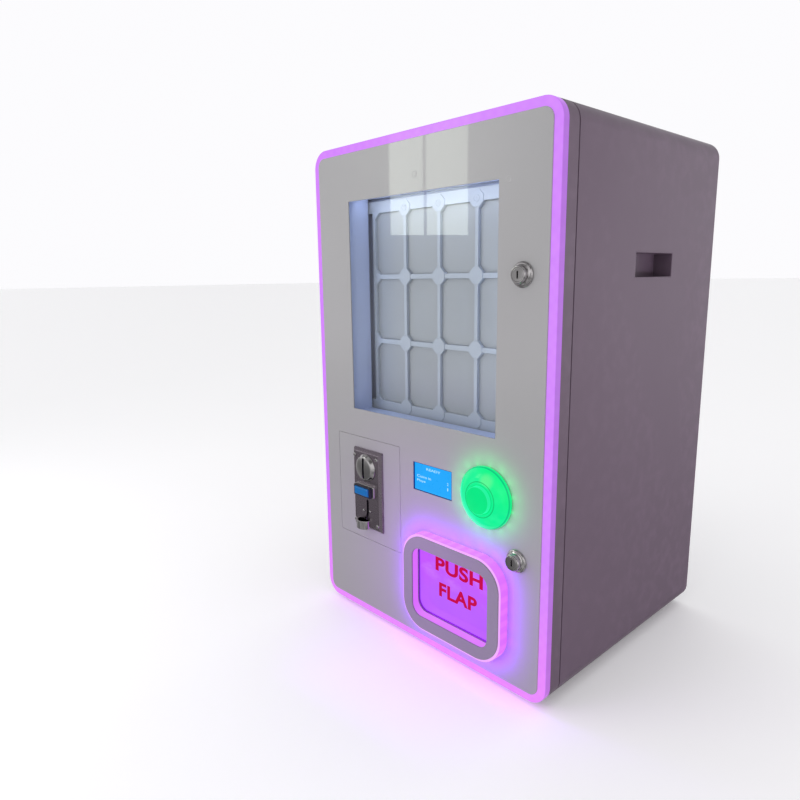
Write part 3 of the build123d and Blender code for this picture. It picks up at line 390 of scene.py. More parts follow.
def flap_glow(m):
    """Violet light through the flap, clearer below and milky and redder towards its top."""
    flap_low, flap_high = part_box("prize_flap")
    rise = m.remap(m.axis("Z"), flap_low.z + 0.03, flap_high.z - 0.03, smooth=True)
    colours = m.mix(rise, (0.46, 0.11, 1.0), (0.52, 0.09, 1.0))
    smoke = m.remap(m.noise(26, 4, 0.6, (1, 1, 1.8)), 0.5, 0.75)
    haze = m.product(m.product(smoke, rise), 0.55)
    return m.mix(haze, colours, (0.70, 0.32, 0.97))


# radius, half width and colour of lines painted on the glow: painted shade at the rim's edge and in
# the groove round the collar, and two painted highlight lines nearer the middle, the inner one at the
# cap's edge
shade_and_highlight_lines = (
    (0.0403, 0.0010, (0.0, 0.45, 0.20)),
    (0.0232, 0.0009, (0.0, 0.40, 0.10)),
    (0.0205, 0.0006, (0.01, 0.95, 0.36)),
    (0.0178, 0.0005, (0.03, 0.95, 0.42)),
)


def button_glow(m):
    """Green light: deeper on the cap, a painted cyan reflection at the lower left, a painted yellower
    highlight at the upper right, a painted mint highlight above the cap, and painted shade and
    highlight lines at the button's edges."""
    centre = at(button_middle[0], 0, button_middle[1])
    offset = m.add("ShaderNodeVectorMath", {0: m.place(), 1: centre}, operation="SUBTRACT")
    across, _, up = m.split(offset.outputs[0])
    squares = m.math("ADD", m.product(across, across), m.product(up, up))
    radius = m.math("SQRT", squares)
    dome = m.remap(radius, 0.0195, 0.0235, smooth=True)
    colours = m.mix(dome, (0.001, 0.80, 0.225), (0.004, 0.89, 0.30))
    lean = m.math("ADD", across, up)
    # painted reflection: cyan towards the lower left rim; painted highlight: yellower towards the
    # upper right
    cyan_reflection = m.product(m.remap(lean, -0.012, -0.05, smooth=True), dome)
    warm_highlight = m.product(m.remap(lean, 0.012, 0.05, smooth=True), dome)
    colours = m.mix(m.product(cyan_reflection, 0.8), colours, (0.02, 1.0, 0.52))
    colours = m.mix(m.product(warm_highlight, 0.45), colours, (0.01, 0.98, 0.20))
    clouds = m.product(m.clouds(55, 2, 0.45, 0.75), dome)
    colours = m.mix(m.product(clouds, 0.3), colours, (0.05, 1.0, 0.42))
    # a painted mint highlight above the cap
    mint_highlight_spot = at(button_middle[0] + 9, -13, button_middle[1] + 25)
    away = m.add("ShaderNodeVectorMath", {0: m.place(), 1: mint_highlight_spot}, operation="DISTANCE")
    mint_highlight = m.remap(away.outputs["Value"], 0.004, 0.013, 0.6, 0.0, smooth=True)
    colours = m.mix(m.product(mint_highlight, dome), colours, (0.17, 0.95, 0.30))
    # painted shade lines at the rim's edge and the collar's groove, painted highlight lines inside
    # them
    for line_radius, width, colour in shade_and_highlight_lines:
        far = m.math("ABSOLUTE", m.math("SUBTRACT", radius, line_radius))
        colours = m.mix(m.remap(far, 0.3 * width, width, 0.75, 0.0, smooth=True), colours, colour)
    return colours


def screen_glow(m):
    """Backlight of the screen: even blue with a slightly brighter lower edge."""
    screen_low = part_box("lcd_module")[0]
    rise = m.remap(m.axis("Z"), screen_low.z + 0.012, screen_low.z + 0.02, smooth=True)
    return m.mix(rise, (0.03, 0.47, 1.0), (0.008, 0.40, 0.97))


def clear_glass(name):
    """Flat glass: lets nearly all light through, and mirrors more when seen at a slant."""
    m = Tree(name)
    through = m.add("ShaderNodeBsdfTransparent", {"Color": (0.955, 0.975, 0.985)})
    mirror = m.add("ShaderNodeBsdfGlossy", {"Roughness": 0.0})
    slant = m.add("ShaderNodeLayerWeight", {"Blend": 0.5}).outputs["Facing"]
    share = m.remap(m.math("POWER", slant, 5.0), 0, 1, 0.04, 1.0)
    sockets = {0: share, 1: through.outputs[0], 2: mirror.outputs[0]}
    glass = m.add("ShaderNodeMixShader", sockets)
    m.link(glass.outputs[0], m.tree.nodes["Material Output"].inputs["Surface"])
    return m.owner


def circuit_board(name):
    """Green solder mask over copper tracks."""
    m = Tree(name)
    traces = m.add("ShaderNodeTexBrick", {
        "Vector": m.place(), "Scale": 120, "Mortar Size": 0.04, "Mortar": (0.03, 0.22, 0.09),
        "Color1": (0.006, 0.075, 0.03), "Color2": (0.012, 0.12, 0.045),
    })
    m.set(Base_Color=traces.outputs["Color"], Roughness=0.35)
    m.bump(traces.outputs["Fac"], 0.00004)
    return m.owner


def even_light(colour):
    """Light of one colour with a faint drift."""
    return lambda m: m.mix(m.clouds(30, 2, 0.3, 0.7), shade(colour, 0.93), colour)


# The cabinet's grey is the door's light grey painted much darker: painted shade for the sides, which
# get less light.
shaded_side_grey = (0.121, 0.083, 0.117)
grey_front = (0.312, 0.310, 0.312)
slot_materials = {
    "cabinet_paint": paint("cabinet_paint", shaded_side_grey, 0.36, 0.08, 0.00001, wear=0.3),
    "door_paint": paint("door_paint", grey_front, 0.3, 0.9, 0.000022),
    "galvanised_steel": metal("galvanised_steel", (0.5, 0.52, 0.54), 0.35, (1, 1, 0.12)),
    "chrome": metal("chrome", (0.62, 0.60, 0.60), 0.09, tarnish=0.15, grain_height=0.000004),
    "edge_light": lit_plastic("edge_light", (0.10, 0.05, 0.12), ring_glow),
    "outlet_light": lit_plastic("outlet_light", (0.10, 0.04, 0.12), outlet_glow),
    "flap_acrylic": lit_plastic("flap_acrylic", (0.06, 0.02, 0.10), flap_glow, 0.6, 0.1),
    "button_glow": lit_plastic("button_glow", (0.0, 0.04, 0.015), button_glow, 0.15, 0.15),
    "reject_blue": plastic("reject_blue", (0.004, 0.12, 0.30), 0.12),
    "screen": lit_plastic("screen", (0.005, 0.01, 0.04), screen_glow, 0.4, 0.3),
    "clear_glass": clear_glass("clear_glass"),
    "display_white": plastic("display_white", (0.455, 0.48, 0.525), 0.33),
    # the reveal is white: its blue tint is painted light, the colour of the display's blue lamps
    "reveal_white": plastic("reveal_white", (0.54, 0.60, 0.82), 0.38, 500),
    "grey_cover": plastic("grey_cover", (0.225, 0.205, 0.245), 0.42, 900, 0.00002),
    "black_plastic": plastic("black_plastic", (0.010, 0.011, 0.020), 0.38),
    "rubber": plastic("rubber", (0.02, 0.02, 0.02), 0.7, 700, 0.00004),
    "circuit_board": circuit_board("circuit_board"),
    "led_white": lit_plastic(
        "led_white", (0.6, 0.65, 0.7), even_light((0.8, 0.88, 1.0)), strength=2.0
    ),
    "motor_steel": metal("motor_steel", (0.36, 0.36, 0.38), 0.3),
    "brass_gear": metal("brass_gear", (0.72, 0.52, 0.22), 0.25),
    "rack_plastic": plastic("rack_plastic", (0.6, 0.6, 0.56), 0.4),
}
cast_face = cast_chrome("cast_face", (0.32, 0.27, 0.315))
label_red_lit = lit_plastic("label_red_lit", (0.05, 0.0, 0.01), even_light((0.54, 0.001, 0.055)), 0.1)
screen_ink = lit_plastic("screen_ink", (0.2, 0.3, 0.5), even_light((0.20, 0.52, 1.0)))
led_violet = lit_plastic("led_violet", (0.5, 0.3, 0.6), even_light((0.85, 0.35, 1.0)), strength=2.0)
pale_trim = plastic("pale_trim", (0.62, 0.62, 0.6), 0.45)
# the cell backing is the board's white painted darker: painted shade in the recessed cells
shaded_cell_white = plastic("shaded_cell_white", (0.375, 0.38, 0.39), 0.33)
# a navy ring standing in for the shaded wall of the screen's opening: painted shade
navy_shade_liner = plastic("navy_shade_liner", (0.003, 0.006, 0.16), 0.35)
# a violet ring standing in for the shadow gap round the flap: painted shadow
violet_gap_shade = plastic("dark_gap_shade", (0.30, 0.01, 0.62), 0.5)
chip_black = plastic("chip_black", (0.03, 0.03, 0.032), 0.5, 2500, 0.00002)
chip_green = plastic("chip_green", (0.03, 0.2, 0.07), 0.4)

slot_of = {part["node"]: part["material_slot"] for part in frame["record"]["subparts"]}
body_of = {}
for body_name, body_nodes in frame["record"]["behaviour"]["bodies"].items():
    for node_name in body_nodes:
        body_of[node_name] = body_name
for node_name, node in nodes.items():
    node.data.materials.clear()
    node.data.materials.append(slot_materials[slot_of[node_name]])


# ---- outlines
# Each makes a closed outline, anticlockwise, as a function of how far it is grown outwards.
# Only eased and bowed give plain lines of points.
def rounded(centre, width, height, radius, steps=10):
    def points(grow=0.0):
        r = max(radius + grow, 0.02)
        corners = ((1, 1, 0), (-1, 1, 90), (-1, -1, 180), (1, -1, 270))
        result = []
        for right, up, start in corners:
            corner = (
                centre[0] + right * (width / 2 + grow - r),
                centre[1] + up * (height / 2 + grow - r),
            )
            for k in range(steps + 1):
                angle = math.radians(start + 90 * k / steps)
                result.append((corner[0] + r * math.cos(angle), corner[1] + r * math.sin(angle)))
        return result
    return points


def circle(centre, radius, steps=64):
    def points(grow=0.0):
        turns = [2 * math.pi * k / steps for k in range(steps)]
        r = radius + grow
        return [(centre[0] + r * math.cos(a), centre[1] + r * math.sin(a)) for a in turns]
    return points


def circles(spots, radius, steps=64):
    return [circle(spot, radius, steps) for spot in spots]


def filled(across, height, radius, steps, inset=0.0):
    """A rounded outline that fills two pairs of limits, or stays inside them by inset."""
    centre = (middle(across), middle(height))
    return rounded(centre, span(across) - 2 * inset, span(height) - 2 * inset, radius, steps)


def in_body(inset, radius, steps=10):
    """The machine's outline as seen from the front, or one inside it."""
    return rounded(body_middle, body_width - 2 * inset, body_tall - 2 * inset, radius, steps)


def polygon(corners):
    """Straight sides between corners; it grows by moving each side outwards."""
    def points(grow=0.0):
        result = []
        for i, corner in enumerate(corners):
            before = Vector(corner) - Vector(corners[i - 1])
            after = Vector(corners[(i + 1) % len(corners)]) - Vector(corner)
            normals = [Vector((side.y, -side.x)).normalized() for side in (before, after)]
            mitre = (normals[0] + normals[1]) / (1 + normals[0].dot(normals[1]))
            result.append(tuple(Vector(corner) + mitre * grow))
        return result
    return points


def regular(centre, radius, sides, turn=0.0):
    corners = []
    for k in range(sides):
        angle = math.radians(turn + 360 * k / sides)
        corners.append(shifted(centre, radius * math.cos(angle), radius * math.sin(angle)))
    return polygon(corners)


def cross(centre, reach, width, turn=45.0):
    """The recess of a cross-head screw."""
    arm, half = reach / 2, width / 2
    corners = []
    for k in range(4):
        angle = math.radians(turn + 90 * k)
        for x, y in ((arm, -half), (arm, half), (half, half)):
            across = x * math.cos(angle) - y * math.sin(angle)
            up = x * math.sin(angle) + y * math.cos(angle)
            corners.append(shifted(centre, across, up))
    return polygon(corners)


def chamfered(centre, width, height, cut):
    half_w, half_h = width / 2, height / 2
    corners = [
        (half_w, half_h - cut), (half_w - cut, half_h), (cut - half_w, half_h),
        (-half_w, half_h - cut), (-half_w, cut - half_h), (cut - half_w, -half_h),
        (half_w - cut, -half_h), (half_w, cut - half_h),
    ]
    return polygon([shifted(centre, x, y) for x, y in corners])


def ribbon(path, width, cap_steps=8):
    """An outline of even width about an open path, with round ends."""
    def points(grow=0.0):
        half = width / 2 + grow
        result = []
        for way in (path, path[::-1]):
            for i, spot in enumerate(way):
                ahead = Vector(way[min(i + 1, len(way) - 1)]) - Vector(way[max(i - 1, 0)])
                aside = Vector((ahead.y, -ahead.x)).normalized() * half
                result.append(shifted(spot, aside.x, aside.y))
            heading = math.atan2(ahead.y, ahead.x)
            for k in range(1, cap_steps):
                angle = heading - math.pi / 2 + math.pi * k / cap_steps
                result.append(shifted(way[-1], half * math.cos(angle), half * math.sin(angle)))
        return result
    return points


def even_points(outline, count=104):
    """The same outline with its points evenly spaced."""
    def points(grow=0.0):
        corners = [Vector(corner) for corner in outline(grow)]
        legs = [(b - a).length for a, b in zip(corners, corners[1:] + corners[:1])]
        result, index, passed = [], 0, 0.0
        for k in range(count):
            goal = sum(legs) * k / count
            while passed + legs[index] < goal:
                passed += legs[index]
                index += 1
            way = corners[(index + 1) % len(corners)] - corners[index]
            result.append(tuple(corners[index] + way * ((goal - passed) / legs[index])))
        return result
    return points


def eased(points, radius, steps=4, closed=False):
    """The same line with its corners rounded."""
    result = []
    for i, corner in enumerate(points):
        if not closed and i in (0, len(points) - 1):
            result.append(tuple(corner))
            continue
        corner = Vector(corner)
        legs = [Vector(points[i - 1]) - corner, Vector(points[(i + 1) % len(points)]) - corner]
        ends = [corner + leg.normalized() * min(radius, 0.45 * leg.length) for leg in legs]
        for k in range(steps + 1):
            t = k / steps
            result.append(tuple(ends[0] * (1 - t) ** 2 + corner * 2 * t * (1 - t) + ends[1] * t * t))
    return result


def bowed(start, through, end, steps=16):
    """Points along a smooth bow through three places."""
    start, through, end = Vector(start), Vector(through), Vector(end)
    share = (through - start).length / ((through - start).length + (end - through).length)
    pull = (through - start * (1 - share) ** 2 - end * share ** 2) / (2 * share * (1 - share))
    ways = [k / steps for k in range(steps + 1)]
    return [tuple(start * (1 - t) ** 2 + pull * 2 * t * (1 - t) + end * t * t) for t in ways]


# ---- shapes
class Shape:
    """A piece's mesh, drawn on one of three planes with local places (u, v, w).

    front: across, height, depth.  level: across, depth, height.  side: depth, height, across.
    """

    def __init__(self, plane="front"):
        self.mesh = bmesh.new()
        self.plane = plane

    def spot(self, u, v, w):
        if self.plane == "front":
            return at(u, w, v)
        if self.plane == "level":
            return at(u, v, w)
        return at(w, u, v)

    def loop(self, outline, w):
        return [self.mesh.verts.new(self.spot(u, v, w)) for u, v in outline]

    def skin(self, loops, closed=False):
        """Faces between each loop and the next; a loop of one point closes a cone."""
        pairs = list(zip(loops, loops[1:]))
        if closed:
            pairs.append((loops[-1], loops[0]))
        for first, second in pairs:
            count = max(len(first), len(second))
            for k in range(count):
                corners = [first[k % len(first)], first[(k + 1) % len(first)]]
                corners += [second[(k + 1) % len(second)], second[k % len(second)]]
                unique = list(dict.fromkeys(corners))
                if len(unique) > 2:
                    self.mesh.faces.new(unique)

    def cap(self, loops):
        """A flat face inside the first loop and outside the others."""
        edges = []
        for loop in loops:
            for k, vert in enumerate(loop):
                edges.append(self.mesh.edges.get((vert, loop[(k + 1) % len(loop)])))
        bmesh.ops.triangle_fill(self.mesh, use_beauty=True, edges=edges)

    def plate(self, outer, front, back, holes=(), edge=0.4, hole_edge=None, lip=None):
        """A plate from w = front to back. Its front edges are rounded by edge, or follow lip:
        pairs of how far in from the outline and how far back from the front."""
        way = 1 if back > front else -1
        fronts, backs = [], []
        outlines = [(outer, -1, edge)]
        outlines += [(hole, 1, edge if hole_edge is None else hole_edge) for hole in holes]
        for outline, sign, by in outlines:
            turns = [math.pi / 2 * k / 4 for k in range(5)]
            steps = [(by * (1 - math.sin(a)), by * (1 - math.cos(a))) for a in turns]
            if lip and sign < 0:
                steps = lip
            loops = [self.loop(outline(sign * inset), front + way * drop) for inset, drop in steps]
            loops.append(self.loop(outline(0.0), back))
            self.skin(loops)
            fronts.append(loops[0])
            backs.append(loops[-1])
        self.cap(fronts)
        self.cap(backs)

    def brick(self, u, v, w, edge=0.4):
        """A block between pairs of limits, with rounded edges at its first end."""
        self.plate(filled(u, v, edge, 3), *w, edge=edge)

    def fill(self, node_name, radius, steps, holes=(), **edges):
        """A plate that fills a CAD node's box, seen from the front."""
        self.plate(filled(*face_of(node_name), radius, steps), *depth_of(node_name), holes, **edges)

    def lathe(self, centre, profile, steps=96, closed=True):
        """A round shape about the w axis at centre, from (radius, w) points."""
        loops = []
        for radius, w in profile:
            if radius < 0.001:
                loops.append(self.loop([centre], w))
            else:
                loops.append(self.loop(circle(centre, radius, steps)(), w))
        self.skin(loops, closed)

    def screw(self, centre, radius, front, back, recess=0.7):
        """A pan head with a cross recess."""
        way = 1 if back > front else -1
        turn = 20 + 40 * ((centre[0] + centre[1]) % 2)
        mark = cross(centre, radius * 1.1, radius * 0.26, turn)
        dome = eased([(radius * 0.55, 0.0), (radius * 0.12, 0.12 * radius), (0.0, 0.5 * radius)], 0.4)
        self.plate(circle(centre, radius, 32), front, back, [mark], hole_edge=0.08, lip=dome)
        floor = front + way * recess
        self.plate(circle(centre, radius * 0.6, 16), floor, floor + way * 0.1, edge=0.02)

    def done(self, name, like, replaces=(), **looks):
        """Ends the piece. It rides with the CAD node called like, and shares its finish."""
        bmesh.ops.recalc_face_normals(self.mesh, faces=self.mesh.faces)
        data = bpy.data.meshes.new(name)
        self.mesh.to_mesh(data)
        self.mesh.free()
        return finish(name, data, like, replaces, **looks)

    def replace(self, name, node_name, **looks):
        """Ends the piece, which stands in for a CAD node."""
        return self.done(name, node_name, [node_name], **looks)


def finish(name, data, like, replaces=(), slot=None, material=None, smooth=38):
    piece = bpy.data.objects.new(name, data)
    bpy.context.scene.collection.objects.link(piece)
    slot = slot or slot_of[like]
    data.materials.clear()
    data.materials.append(material or slot_materials[slot])
    for face in data.polygons:
        face.use_smooth = True
    data.set_sharp_from_angle(angle=math.radians(smooth))
    normals = piece.modifiers.new("normals", "WEIGHTED_NORMAL")
    normals.keep_sharp = True
    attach(piece, body_of[like])
    if replaces:
        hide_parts(*replaces)
    return piece


def softened(node_name, width=0.4, material=None):
    """A CAD node's own shape with its sharp edges rounded off."""
    shape = bmesh.new()
    shape.from_mesh(nodes[node_name].data)
    bmesh.ops.remove_doubles(shape, verts=shape.verts, dist=0.000002)
    bmesh.ops.dissolve_limit(
        shape, angle_limit=math.radians(1), verts=shape.verts, edges=shape.edges
    )
    sharp = [
        edge for edge in shape.edges
        if len(edge.link_faces) == 2 and edge.calc_face_angle(0) > math.radians(35)
    ]
    bmesh.ops.bevel(
        shape, geom=sharp, offset=width * MM, segments=2, affect="EDGES", clamp_overlap=True
    )
    data = bpy.data.meshes.new(node_name + "_soft")
    shape.to_mesh(data)
    shape.free()
    return finish(node_name + "_soft", data, node_name, [node_name], material=material)


def cut(piece, *cutters):
    """Takes box-shaped cutters (limits across, in depth, in height) out of a piece."""
    for box in cutters:
        corners = [at(x, y, z) for x in box[0] for y in box[1] for z in box[2]]
        sides = [(0, 1, 3, 2), (4, 6, 7, 5), (0, 4, 5, 1), (2, 3, 7, 6), (0, 2, 6, 4), (1, 5, 7, 3)]
        data = bpy.data.meshes.new("cutter")
        data.from_pydata(corners, [], sides)
        tool = bpy.data.objects.new("cutter", data)
        bpy.context.scene.collection.objects.link(tool)
        boolean = piece.modifiers.new("cut", "BOOLEAN")
        boolean.operation = "DIFFERENCE"
        boolean.object = tool
        piece.modifiers.move(len(piece.modifiers) - 1, 0)
        graph = bpy.context.evaluated_depsgraph_get()
        result = bpy.data.meshes.new_from_object(piece.evaluated_get(graph))
        piece.modifiers.remove(boolean)
        piece.data = result
        bpy.data.objects.remove(tool)
    piece.data.set_sharp_from_angle(angle=math.radians(38))


def lettering(name, words, across, height, depth, like, material, bold, thick=0.15):
    """Plain letters that fill a place on the front, thick millimetres proud of a depth."""
    text = bpy.data.curves.new(name, "FONT")
    text.body = words
    text.offset = bold
    text.space_character = 1.0 + 1.6 * bold
    text.extrude = 0.02
    holder = bpy.data.objects.new(name + "_text", text)
    bpy.context.scene.collection.objects.link(holder)
    graph = bpy.context.evaluated_depsgraph_get()
    data = bpy.data.meshes.new_from_object(holder.evaluated_get(graph))
    bpy.data.objects.remove(holder)
    xs = [vert.co.x for vert in data.vertices]
    ys = [vert.co.y for vert in data.vertices]
    for vert in data.vertices:
        u = across[0] + span(across) * (vert.co.x - min(xs)) / (max(xs) - min(xs))
        v = height[0] + span(height) * (vert.co.y - min(ys)) / (max(ys) - min(ys))
        vert.co = at(u, depth - (thick if vert.co.z > 0 else 0.0), v)
    return finish(name, data, like, material=material)


def islands(node_name):
    """The middles of a node's separate solids, as seen from the front."""
    shape = bmesh.new()
    shape.from_mesh(nodes[node_name].data)
    bmesh.ops.remove_doubles(shape, verts=shape.verts, dist=0.000002)
    left = set(shape.verts)
    spots = []
    while left:
        group, queue = set(), [next(iter(left))]
        while queue:
            vert = queue.pop()
            if vert in group:
                continue
            group.add(vert)
            queue += [edge.other_vert(vert) for edge in vert.link_edges]
        left -= group
        across = [vert.co.x / MM for vert in group]
        height = [(vert.co.z - base) / MM for vert in group]
        spots.append((middle((min(across), max(across))), middle((min(height), max(height)))))
    shape.free()
    return sorted(spots)


# ---- the door's outside
stud_spots = islands("panel_studs")
edge_reach = 20
window_studs = [
    (x, z) for x, z in stud_spots
    if abs(x) <= body_width / 2 - edge_reach and abs(z - body_middle[1]) <= body_tall / 2 - edge_reach
]
rim_studs = [spot for spot in stud_spots if spot not in window_studs]
body_outline = in_body(0, corner_radius, 24)
body_inside = in_body(sheet, corner_radius - sheet, 24)
window_outline = filled(*face_of("window_glass"), 0.5, 3, glass_border)


def light_ring():
    ring = Shape()
    holes = [in_body(ring_band, 6)] + circles(rim_studs, stud_hole, 16)
    ring.plate(body_outline, *body_depth, holes, edge=1.3, hole_edge=0.2)
    ring.replace("light_ring", "edge_light_ring")


def door_rim():
    """The tray behind the ring: a wall with a flange at each end."""
    start, end = depth_of("door_frame")
    front_flange, back_flange = 30, 14
    rim = Shape()
    rim.plate(body_outline, start, end, [body_inside], edge=0.5)
    tray = in_body(sheet / 2, corner_radius - 1, 24)
    front_holes = [in_body(front_flange, 6)] + circles(rim_studs, stud_hole, 16)
    rim.plate(tray, start + 0.1, start + sheet, front_holes, edge=0.2)
    rim.plate(tray, end - 0.1, end - sheet, [in_body(back_flange, 6)], edge=0.2)
    rim.replace("door_rim", "door_frame")


def door_sheet():
    start, end = depth_of("door_panel")
    access = face_of("coin_access_plate")
    # how far the cover's flange reaches past its face, and the gap around the face
    cover_flange, gap = 8, 0.5
    holes = [
        window_outline,
        filled(*access, 2, 5, cover_flange - gap),
        rounded(screen_middle, *screen_opening, 0.5, 3),
        circle(button_middle, button_hole),
        rounded(outlet_middle, *outlet_opening, outlet_radius),
    ]
    holes += circles(lock_middles.values(), lock_barrel + 0.2)
    door = Shape()
    door.fill("door_panel", panel_radius, 16, holes, edge=0.45, hole_edge=0.3)
    door.replace("door_sheet", "door_panel")
    throat = rounded(plate_middle, *coin_throat, 0.5, 3)
    holes = [throat] + circles(coin_screw_spots(), coin_screw_hole, 24)
    cover = Shape()
    cover.plate(filled(*access, 1.5, 5, cover_flange), start, end, holes, edge=0.35, hole_edge=0.1)
    cover.plate(filled(*access, 1, 3), end, end - start, holes, edge=0.1)
    cover.replace("service_cover", "coin_access_plate")


def weld_marks():
    """Faint rings in the paint where studs are welded to the back of the sheet."""
    marks = Shape()
    spots = window_studs + [shifted(screen_middle, 43.4, 31.6), shifted(screen_middle, -44, 32)]
    profile = [(0.0, 0.03), (2.2, 0.02), (3.0, -0.07), (3.7, -0.085), (4.3, -0.02), (4.6, 0.05)]
    for spot in spots:
        marks.lathe(spot, [(radius, panel_front + w) for radius, w in profile], 40, closed=False)
    marks.done("weld_marks", "door_panel", smooth=80)


def reveal_box():
    across, (start, end), height = limits("window_reveal")
    side_flange, top_flange, wall = 28, 44, 3

    def frame(side, top, radius):
        return rounded(window_middle, span(across) - side, span(height) - top, radius, 3)

    inside = frame(side_flange, top_flange, 0.5)
    holes = [inside] + circles(window_studs, stud_hole, 16)
    reveal = Shape()
    reveal.plate(frame(0, 0, 2), start, start + sheet, holes, edge=0.2)
    walls = frame(side_flange - wall, top_flange - wall, 1.5)
    reveal.plate(walls, end, start + sheet, [inside], edge=0.6)
    reveal.replace("reveal_box", "window_reveal")


# ---- the display
def display_board():
    """The grid: cells with cut corners, and eight-sided bosses where the ribs meet."""
    across, (start, end), height = limits("prize_board")
    columns, rows = 4, 3
    grid_width = span(across) - 2 * board_ear
    column_pitch = (grid_width - rib_width) / columns
    row_pitch = (span(height) - 2 * board_footer + bar_height) / rows
    centre = centre_of("prize_board")
    half_w, half_h = span(across) / 2, span(height) / 2
    inner_w, inner_h = grid_width / 2, half_h - board_footer
    right = [(half_w, -half_h), (half_w, -inner_h), (inner_w, -inner_h)]
    right += [(x, -y) for x, y in reversed(right)]
    stepped = right + [(-x, y) for x, y in reversed(right)]
    face = start + 1.0
    cell_size = (column_pitch - rib_width, row_pitch - bar_height)
    cells = []
    for column in range(columns):
        for row in range(rows):
            cell = shifted(centre, (column - 1.5) * column_pitch, (row - 1) * row_pitch)
            cells.append(chamfered(cell, *cell_size, cell_corner))
    board, screws, hole_shades = Shape(), Shape(), Shape()
    board.plate(polygon([shifted(centre, x, y) for x, y in stepped]), face, end, cells, edge=0.35)
    for column in range(1, columns):
        for row in range(rows + 1):
            spot = shifted(centre, (column - 2) * column_pitch, (row - 1.5) * row_pitch)
            board.plate(regular(spot, boss_reach, 8, 22.5), start, face + 0.2, edge=0.5)
            if row == rows:
                collar = [circle(spot, 3.9, 40)]
                board.plate(circle(spot, 5, 40), start - 0.5, start, collar, edge=0.3)
                screws.screw(spot, 3.4, start - 0.2, start + 0.5)
            # black discs in the footer: painted shade in place of small dark holes
            if row == 0:
                low = shifted(spot, 0, -7.5)
                hole_shades.plate(circle(low, 1.5, 24), face - 0.08, face + 0.1, edge=0.03)
    board.replace("display_grid", "prize_board")
    screws.done("board_screws", "prize_board", material=slot_materials["display_white"])
    hole_shades.done("board_hole_shades", "prize_board", material=chip_black)
    backing = Shape()
    backing.fill("board_backing", 4, 10)
    back_start = depth_of("board_backing")[0]
    gap = 0.25
    for cell in cells:
        step = polygon(cell(-gap))
        backing.plate(step, face + cell_recess, back_start + 0.1, edge=0.2)
    # the backing's darker white is painted shade in the recessed cells
    backing.replace("cell_backing", "board_backing", material=shaded_cell_white, slot="display_white")


# ---- coin parts
def coin_screw_spots():
    width, height = coin_screw_spacing
    return [shifted(plate_middle, x * width / 2, y * height / 2) for x in (-1, 1) for y in (-1, 1)]


def return_slot():
    """The way of a returned coin: straight down, then round to the left into the cup."""
    across, turn_height, bend = -104.5, 175, 20
    path = [(across, 192), (across, 184)]
    for k in range(13):
        angle = math.radians(90 * k / 12)
        path.append((across - bend + bend * math.cos(angle), turn_height - bend * math.sin(angle)))
    return path


def coin_face():
    pad_front, back = depth_of("coin_faceplate")
    bevel = eased([(5.2, 0.0), (4.2, 0.0), (0.3, 4.0), (0.0, 5.0)], 0.8)
    reject_hole = rounded(reject_middle, *reject_opening, 1, 4)
    holes = [ribbon(return_slot(), 5), circle(entry_middle, 18.5), reject_hole]
    holes += circles(coin_screw_spots(), coin_screw_hole, 24)
    plate = Shape()
    outline = filled(*face_of("coin_faceplate"), 0.6, 4)
    plate.plate(outline, coin_plate_front, back, holes, hole_edge=0.35, lip=bevel)
    plate.replace("coin_plate", "coin_faceplate", material=cast_face)
    pad = Shape()
    for spot in ((-112, 176), (-96.5, 177.5)):
        pad.plate(circle(spot, 2.1, 32), -10.8, coin_plate_front + 0.2, edge=1.3)
    ledge = eased([(1.6, 0.0), (0.5, 0.4), (0.0, 1.8), (0.0, 3.0)], 0.5)
    ledge_back = coin_plate_front + 0.3
    pad.plate(rounded(reject_middle, 44, 18, 2, 6), pad_front, ledge_back, [reject_hole], lip=ledge)
    # a row of fine ribs along the ledge's top
    top = reject_middle[1] + 9
    for k in range(15):
        left = reject_middle[0] - 18.2 + 2.5 * k
        pad.brick((left, left + 1.3), (top - 0.3, top + 0.35), (pad_front + 1.2, ledge_back), 0.3)
    pad.done("reject_ledge", "coin_faceplate")


def coin_nose():
    nose_front, back = depth_of("coin_entry")
    brim, hole = 21.5, 18.5
    profile = [(0.0, back), (hole, back), (hole, coin_plate_front)]
    edge = [(brim, coin_plate_front), (brim, coin_plate_front - 1.2)]
    edge += [(18.0, nose_front + 1.0), (16.5, nose_front + 0.75)]
    profile += eased(edge, 0.7)
    profile += bowed((15.5, nose_front + 0.6), (9.0, nose_front + 0.2), (0.0, nose_front), 10)
    nose = Shape()
    nose.lathe(entry_middle, profile, 128, closed=False)
    piece = nose.replace("coin_nose", "coin_entry")
    slot_across, slot_height = (
        about(centre, size / 2) for centre, size in zip(entry_middle, coin_slot)
    )
    cut(piece, (slot_across, (nose_front - 1, back - 2), slot_height))
    liner = Shape()
    hole = rounded(entry_middle, coin_slot[0] - 2, coin_slot[1] - 2.4, 0.8, 4)
    outline = rounded(entry_middle, coin_slot[0] - 0.1, coin_slot[1] - 0.1, 0.6, 4)
    liner.plate(outline, nose_front + 3.2, back - 2.1, [hole], edge=0.3)
    liner.done("coin_slot_liner", "coin_entry", slot="black_plastic")


